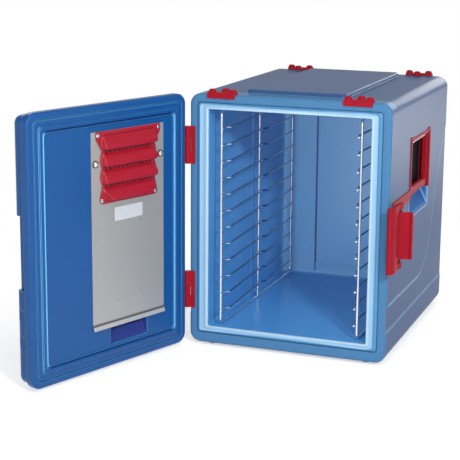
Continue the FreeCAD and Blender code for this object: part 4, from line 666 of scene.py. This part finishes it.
fastener_steel = metal("fastener_steel", dark=(0.74, 0.74, 0.73), light=(0.88, 0.88, 0.87), rough=0.24,
                       stretch=(40.0, 40.0, 4.0))
tree = fastener_steel.node_tree
fastener_mesh = nodes["plate_fasteners"].data
head_points = np.empty(3 * len(fastener_mesh.vertices), dtype=np.float32)
fastener_mesh.vertices.foreach_get("co", head_points)
head_points = head_points.reshape(-1, 3)
far_side = head_points[:, 1] < (head_points[:, 1].min() + head_points[:, 1].max()) / 2
nearest = add_node(tree, "ShaderNodeMath", operation="MINIMUM")
for entry, head in enumerate((head_points[far_side], head_points[~far_side])):
    head_middle = (head.min(axis=0) + head.max(axis=0)) / 2
    away = add_node(tree, "ShaderNodeVectorMath", {1: head_middle}, operation="DISTANCE")
    tree.links.new(own_place(fastener_steel), away.inputs[0])
    join(tree, away, "Value", nearest, entry)
head_radius, bright_share, dark_share = float(np.ptp(head_points[:, 2])) / 2, 0.68, 0.90
# Dark ring near the rim of each fastener head: painted shade.
head_rim_shade = add_node(tree, "ShaderNodeMapRange",
                    {"From Min": bright_share * head_radius, "From Max": dark_share * head_radius})
join(tree, nearest, "Value", head_rim_shade, "Value")
overlay(fastener_steel, head_rim_shade.outputs["Result"], (0.075, 0.073, 0.070))
dress(fastener_steel, "plate_fasteners")


# Louvre: thin red nylon formed into four hoods, with two rows of air slots under each of the upper three.
# The ends of the hoods give it scalloped sides, and its corner ears are screwed to the guide plate.
def louvre_surface(drop, half_width, hood_half, hood_tops, hood_height, hood_out):
    """Formed sheet as a height over the plate.

    Rows go down, columns go across the scalloped width. Over each hood the height rises in three straight
    runs, drops a little in two more to the lip, and falls off as a quarter circle towards the hood's ends.
    Between the hoods two rows of slots are let in between upright ribs, and a groove runs under the top
    flange; the mask marks both, and they are painted dark as painted shade.
    """
    columns, flat_height, sunk_height, end_round = 181, 0.0020, 0.0007, 0.005
    slot_rows, rib_pitch, rib_share, slot_margin = ((0.0008, 0.0036), (0.0050, 0.0078)), 0.0125, 0.70, 0.008
    groove_top, groove_low, groove_margin, groove_shade = 0.0085, 0.0105, 0.002, 0.6
    across = np.linspace(-1.0, 1.0, columns)[None, :] * half_width[:, None]
    down, from_end = drop[:, None], hood_half[:, None] - np.abs(across)
    start = hood_tops[np.clip(np.searchsorted(hood_tops, drop, side="right") - 1, 0, None)][:, None]
    way = (down - start) / hood_height
    on_hood = (way >= 0.0) & (way <= 1.0)
    rise = np.interp(way, [0.0, 0.06, 0.40, 0.66, 0.92, 1.0], [0.0, 0.14, 0.72, 1.0, 0.97, 0.84])
    ends = np.sqrt(1.0 - (1.0 - np.clip(from_end / end_round, 0.0, 1.0)) ** 2)
    height = flat_height + np.where(on_hood, hood_out * rise * ends, 0.0)
    under = down - start - hood_height
    rows = np.any([(under > top) & (under < low) for top, low in slot_rows], axis=0)
    rib = np.cos(2 * np.pi * across / rib_pitch) > rib_share
    shaded_slot = rows & ~rib & (down < hood_tops[-1]) & (from_end > slot_margin)
    groove = (down > groove_top) & (down < groove_low) & (from_end > groove_margin)
    height = np.where(shaded_slot | groove, sunk_height, height)
    return across, np.broadcast_to(down, across.shape), height, np.where(shaded_slot, 1.0, groove_shade * groove)


louvre_h, hood_h, hood_pitch, hood_head, hood_out = 0.161, 0.029, 0.038, 0.011, 0.0130
ear, waist, wide, foot, chamfer = 0.016, 0.0815, 0.0995, 0.0885, 0.005
row_count, notch_drop, bulge, end_inset, foot_inset = 215, 0.0045, 0.0045, 0.002, 0.018
scallop, scallop_fullness = 0.005, 0.7
drop = np.linspace(0.0, louvre_h, row_count)
tops = hood_head + hood_pitch * np.arange(4)
notches = tops[:-1] + hood_h + notch_drop
half_width = np.interp(drop, [0.0, ear, notches[0], notches[2], louvre_h - ear, louvre_h - chamfer, louvre_h],
                       [wide, wide, waist, waist, foot, foot, foot - chamfer])
between = np.clip((drop - notches[0]) / hood_pitch, 0.0, 2.0) % 1.0
half_width = half_width + scallop * np.sin(np.pi * between) ** scallop_fullness
hood_half = np.interp(drop, [0.0, tops[3] + hood_h / 3, tops[3] + hood_h, louvre_h],
                      [waist - end_inset, waist - end_inset, waist - foot_inset, waist - foot_inset])
hood_half = hood_half + bulge * np.sin(np.pi * np.clip((drop - hood_head) / hood_pitch, 0.0, 3.0)) ** 2
across, down, height, shaded_slot = louvre_surface(drop, half_width, hood_half, tops, hood_h, hood_out)
plate_face, plate_top = -0.3025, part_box("air_guide_plate")[1][2]
louvre_points = door_points(across + unit_x, plate_face + height, plate_top - down)
into_cavity = (math.sin(opened), math.cos(opened), 0.0)
louvre = grid_piece("formed_louvre", louvre_points, facing=into_cavity, masks={"shaded_slot": shaded_slot})
sheet = louvre.modifiers.new("sheet", "SOLIDIFY")
sheet.thickness = 0.0006
sheet.offset = -1.0
louvre_red = moulded_plastic("louvre_red_nylon", dark=(0.37, 0.003, 0.017), light=(0.45, 0.005, 0.025),
                             worn_or_highlight=(0.70, 0.09, 0.13), rough=0.38, grain=1400.0, depth=0.06)
# Slots and the groove under the flange painted near black: painted shade.
overlay_marked(louvre_red, {"shaded_slot": (0.020, 0.002, 0.003)})
louvre.data.materials.append(louvre_red)
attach(louvre, "door")
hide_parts("air_louvre")

# Controls on the outside of the door: black moulded panel with a temperature knob, a rocker switch and an
# appliance socket, and a pilot lamp with an amber lens. The panel is let into a recess of the door's shell.
panel_black = moulded_plastic("black_plastic", dark=(0.012, 0.012, 0.013), light=(0.020, 0.020, 0.022),
                              worn_or_highlight=(0.07, 0.07, 0.07), rough=0.45, grain=1500.0, depth=0.2)
dress(panel_black, "control_panel", "temperature_knob", "power_switch", "mains_inlet")
lamp_amber = moulded_plastic("amber_lens", dark=(0.60, 0.16, 0.01), light=(0.75, 0.24, 0.02),
                             worn_or_highlight=(0.85, 0.45, 0.15), rough=0.12, grain=300.0, depth=0.02)
dress(lamp_amber, "pilot_lamp")


# Background and floor: a white room and a plain pale floor. Both show white to the camera and in mirrors,
# apart from the object's shadow, and give only a plain even light to the object.
# In mirrors the room is dimmer overhead, so that the level faces keep their colour.
def white_where_seen(tree, seen, lit):
    """Shader mix: seen for camera, mirror and through rays, and lit for the rest."""
    path = add_node(tree, "ShaderNodeLightPath")
    first = add_node(tree, "ShaderNodeMath", operation="MAXIMUM")
    join(tree, path, "Is Camera Ray", first, 0)
    join(tree, path, "Is Glossy Ray", first, 1)
    both = add_node(tree, "ShaderNodeMath", operation="MAXIMUM")
    join(tree, first, "Value", both, 0)
    join(tree, path, "Is Transmission Ray", both, 1)
    mix = add_node(tree, "ShaderNodeMixShader")
    join(tree, both, "Value", mix, "Fac")
    tree.links.new(lit, mix.inputs[1])
    tree.links.new(seen, mix.inputs[2])
    return mix.outputs[0]


white = (1.0, 1.0, 1.0, 1.0)
world = bpy.data.worlds.new("studio")
world.use_nodes = True
bpy.context.scene.world = world
sky = world.node_tree
even = sky.nodes["Background"]
even.inputs["Color"].default_value = white
even.inputs["Strength"].default_value = 0.33
bright = add_node(sky, "ShaderNodeBackground", {"Color": white})
looking = add_node(sky, "ShaderNodeTexCoord")
slopes = add_node(sky, "ShaderNodeSeparateXYZ")
join(sky, looking, "Generated", slopes, "Vector")
overhead = add_node(sky, "ShaderNodeMapRange",
                    {"From Min": 0.12, "From Max": 0.45, "To Min": 1.0, "To Max": 0.30})
join(sky, slopes, "Z", overhead, "Value")
rays = add_node(sky, "ShaderNodeLightPath")
backdrop = add_node(sky, "ShaderNodeMath", operation="MAXIMUM")
join(sky, overhead, "Result", backdrop, 0)
join(sky, rays, "Is Camera Ray", backdrop, 1)
join(sky, backdrop, "Value", bright, "Strength")
sky.links.new(white_where_seen(sky, bright.outputs[0], even.outputs[0]),
              sky.nodes["World Output"].inputs["Surface"])

floor_half, floor_level = 8.0, cad_box[0][2] - 0.0001
floor_corners = [(-floor_half, -floor_half, floor_level), (floor_half, -floor_half, floor_level),
                 (floor_half, floor_half, floor_level), (-floor_half, floor_half, floor_level)]
floor_mesh = bpy.data.meshes.new("floor")
floor_mesh.from_pydata(floor_corners, [], [(0, 1, 2, 3)])
floor = bpy.data.objects.new("floor", floor_mesh)
bpy.context.scene.collection.objects.link(floor)
floor_white = bpy.data.materials.new("floor_white")
floor_white.use_nodes = True
tree = floor_white.node_tree
plain = tree.nodes["Principled BSDF"]
plain.inputs["Base Color"].default_value = (0.90, 0.90, 0.90, 1.0)
plain.inputs["Roughness"].default_value = 0.9
shaded = add_node(tree, "ShaderNodeBsdfDiffuse", {"Color": (0.74, 0.74, 0.74, 1.0)})
lift = add_node(tree, "ShaderNodeEmission", {"Color": white, "Strength": 0.55})
near = add_node(tree, "ShaderNodeAddShader")
tree.links.new(shaded.outputs[0], near.inputs[0])
tree.links.new(lift.outputs[0], near.inputs[1])
far = add_node(tree, "ShaderNodeEmission", {"Color": white, "Strength": 1.0})
distance = add_node(tree, "ShaderNodeVectorMath", operation="LENGTH")
tree.links.new(own_place(floor_white), distance.inputs[0])
fade = add_node(tree, "ShaderNodeMapRange", {"From Min": 0.7, "From Max": 1.4},
                interpolation_type="SMOOTHSTEP")
join(tree, distance, "Value", fade, "Value")
ground = add_node(tree, "ShaderNodeMixShader")
join(tree, fade, "Result", ground, "Fac")
tree.links.new(near.outputs[0], ground.inputs[1])
tree.links.new(far.outputs[0], ground.inputs[2])
tree.links.new(white_where_seen(tree, ground.outputs[0], plain.outputs[0]),
               tree.nodes["Material Output"].inputs["Surface"])
floor_mesh.materials.append(floor_white)


# Lights: soft studio panels. The key stands high at the front right, the fill beside the camera lights the
# cavity, and one overhead lights the top. A low one at the rear right and one behind give the right side and
# the top their sheen, and one at the rear left keeps the far sides clear.
def soft_light(name, place, aim, size, power):
    """Rectangular area light that stands at a place and faces its aim, unseen by the camera."""
    lamp = bpy.data.lights.new(name, "AREA")
    lamp.shape = "RECTANGLE"
    lamp.size, lamp.size_y = size
    lamp.energy = power
    held = bpy.data.objects.new(name, lamp)
    held.location = place
    held.rotation_euler = (Vector(aim) - Vector(place)).to_track_quat("-Z", "Y").to_euler()
    held.visible_camera = False
    bpy.context.scene.collection.objects.link(held)


soft_light("key", place=(1.87, -2.57, 1.82), aim=(0.0, -0.1, 0.3), size=(0.30, 0.30), power=51.0)
soft_light("fill", place=(0.25, -3.40, 0.66), aim=(0.0, 0.0, 0.3), size=(1.0, 0.9), power=21.5)
soft_light("over", place=(0.50, -1.40, 2.60), aim=(0.0, 0.0, 0.4), size=(0.8, 0.8), power=13.0)
soft_light("rear", place=(1.12, 1.72, 0.24), aim=(0.3, -0.2, 0.4), size=(0.8, 0.4), power=4.5)
soft_light("behind", place=(0.36, 2.60, 1.02), aim=(0.2, 0.0, 0.6), size=(1.0, 0.6), power=13.5)
soft_light("left", place=(-2.60, 1.70, 1.80), aim=(0.0, 0.0, 0.3), size=(1.2, 1.2), power=22.0)

# Camera: stands where the photograph was taken from, a little above the box and to its right.
# The focal length and the picture's middle are in pixels of the square photograph.
photo_size, focal, centre_x, centre_y = 460.0, 1341.4, 240.0, 201.0
camera_place = (0.9427, -3.147, 0.989)
yaw, pitch, roll = math.radians(20.36), math.radians(11.84), math.radians(0.53)
ahead = Vector((-math.sin(yaw) * math.cos(pitch), math.cos(yaw) * math.cos(pitch), -math.sin(pitch)))
level_right = Vector((math.cos(yaw), math.sin(yaw), 0.0))
level_up = level_right.cross(ahead)
camera_right = math.cos(roll) * level_right + math.sin(roll) * level_up
camera_up = -math.sin(roll) * level_right + math.cos(roll) * level_up
lens = bpy.data.cameras.new("photo_camera")
lens.sensor_width = 36.0
lens.lens = focal / photo_size * lens.sensor_width
lens.shift_x = (photo_size / 2 - centre_x) / photo_size
lens.shift_y = (centre_y - photo_size / 2) / photo_size
lens.clip_end = 50.0
camera = bpy.data.objects.new("photo_camera", lens)
turned = Matrix((camera_right, camera_up, -ahead)).transposed().to_4x4()
camera.matrix_world = Matrix.Translation(camera_place) @ turned
bpy.context.scene.collection.objects.link(camera)
bpy.context.scene.camera = camera
bpy.context.scene.view_settings.view_transform = "Standard"
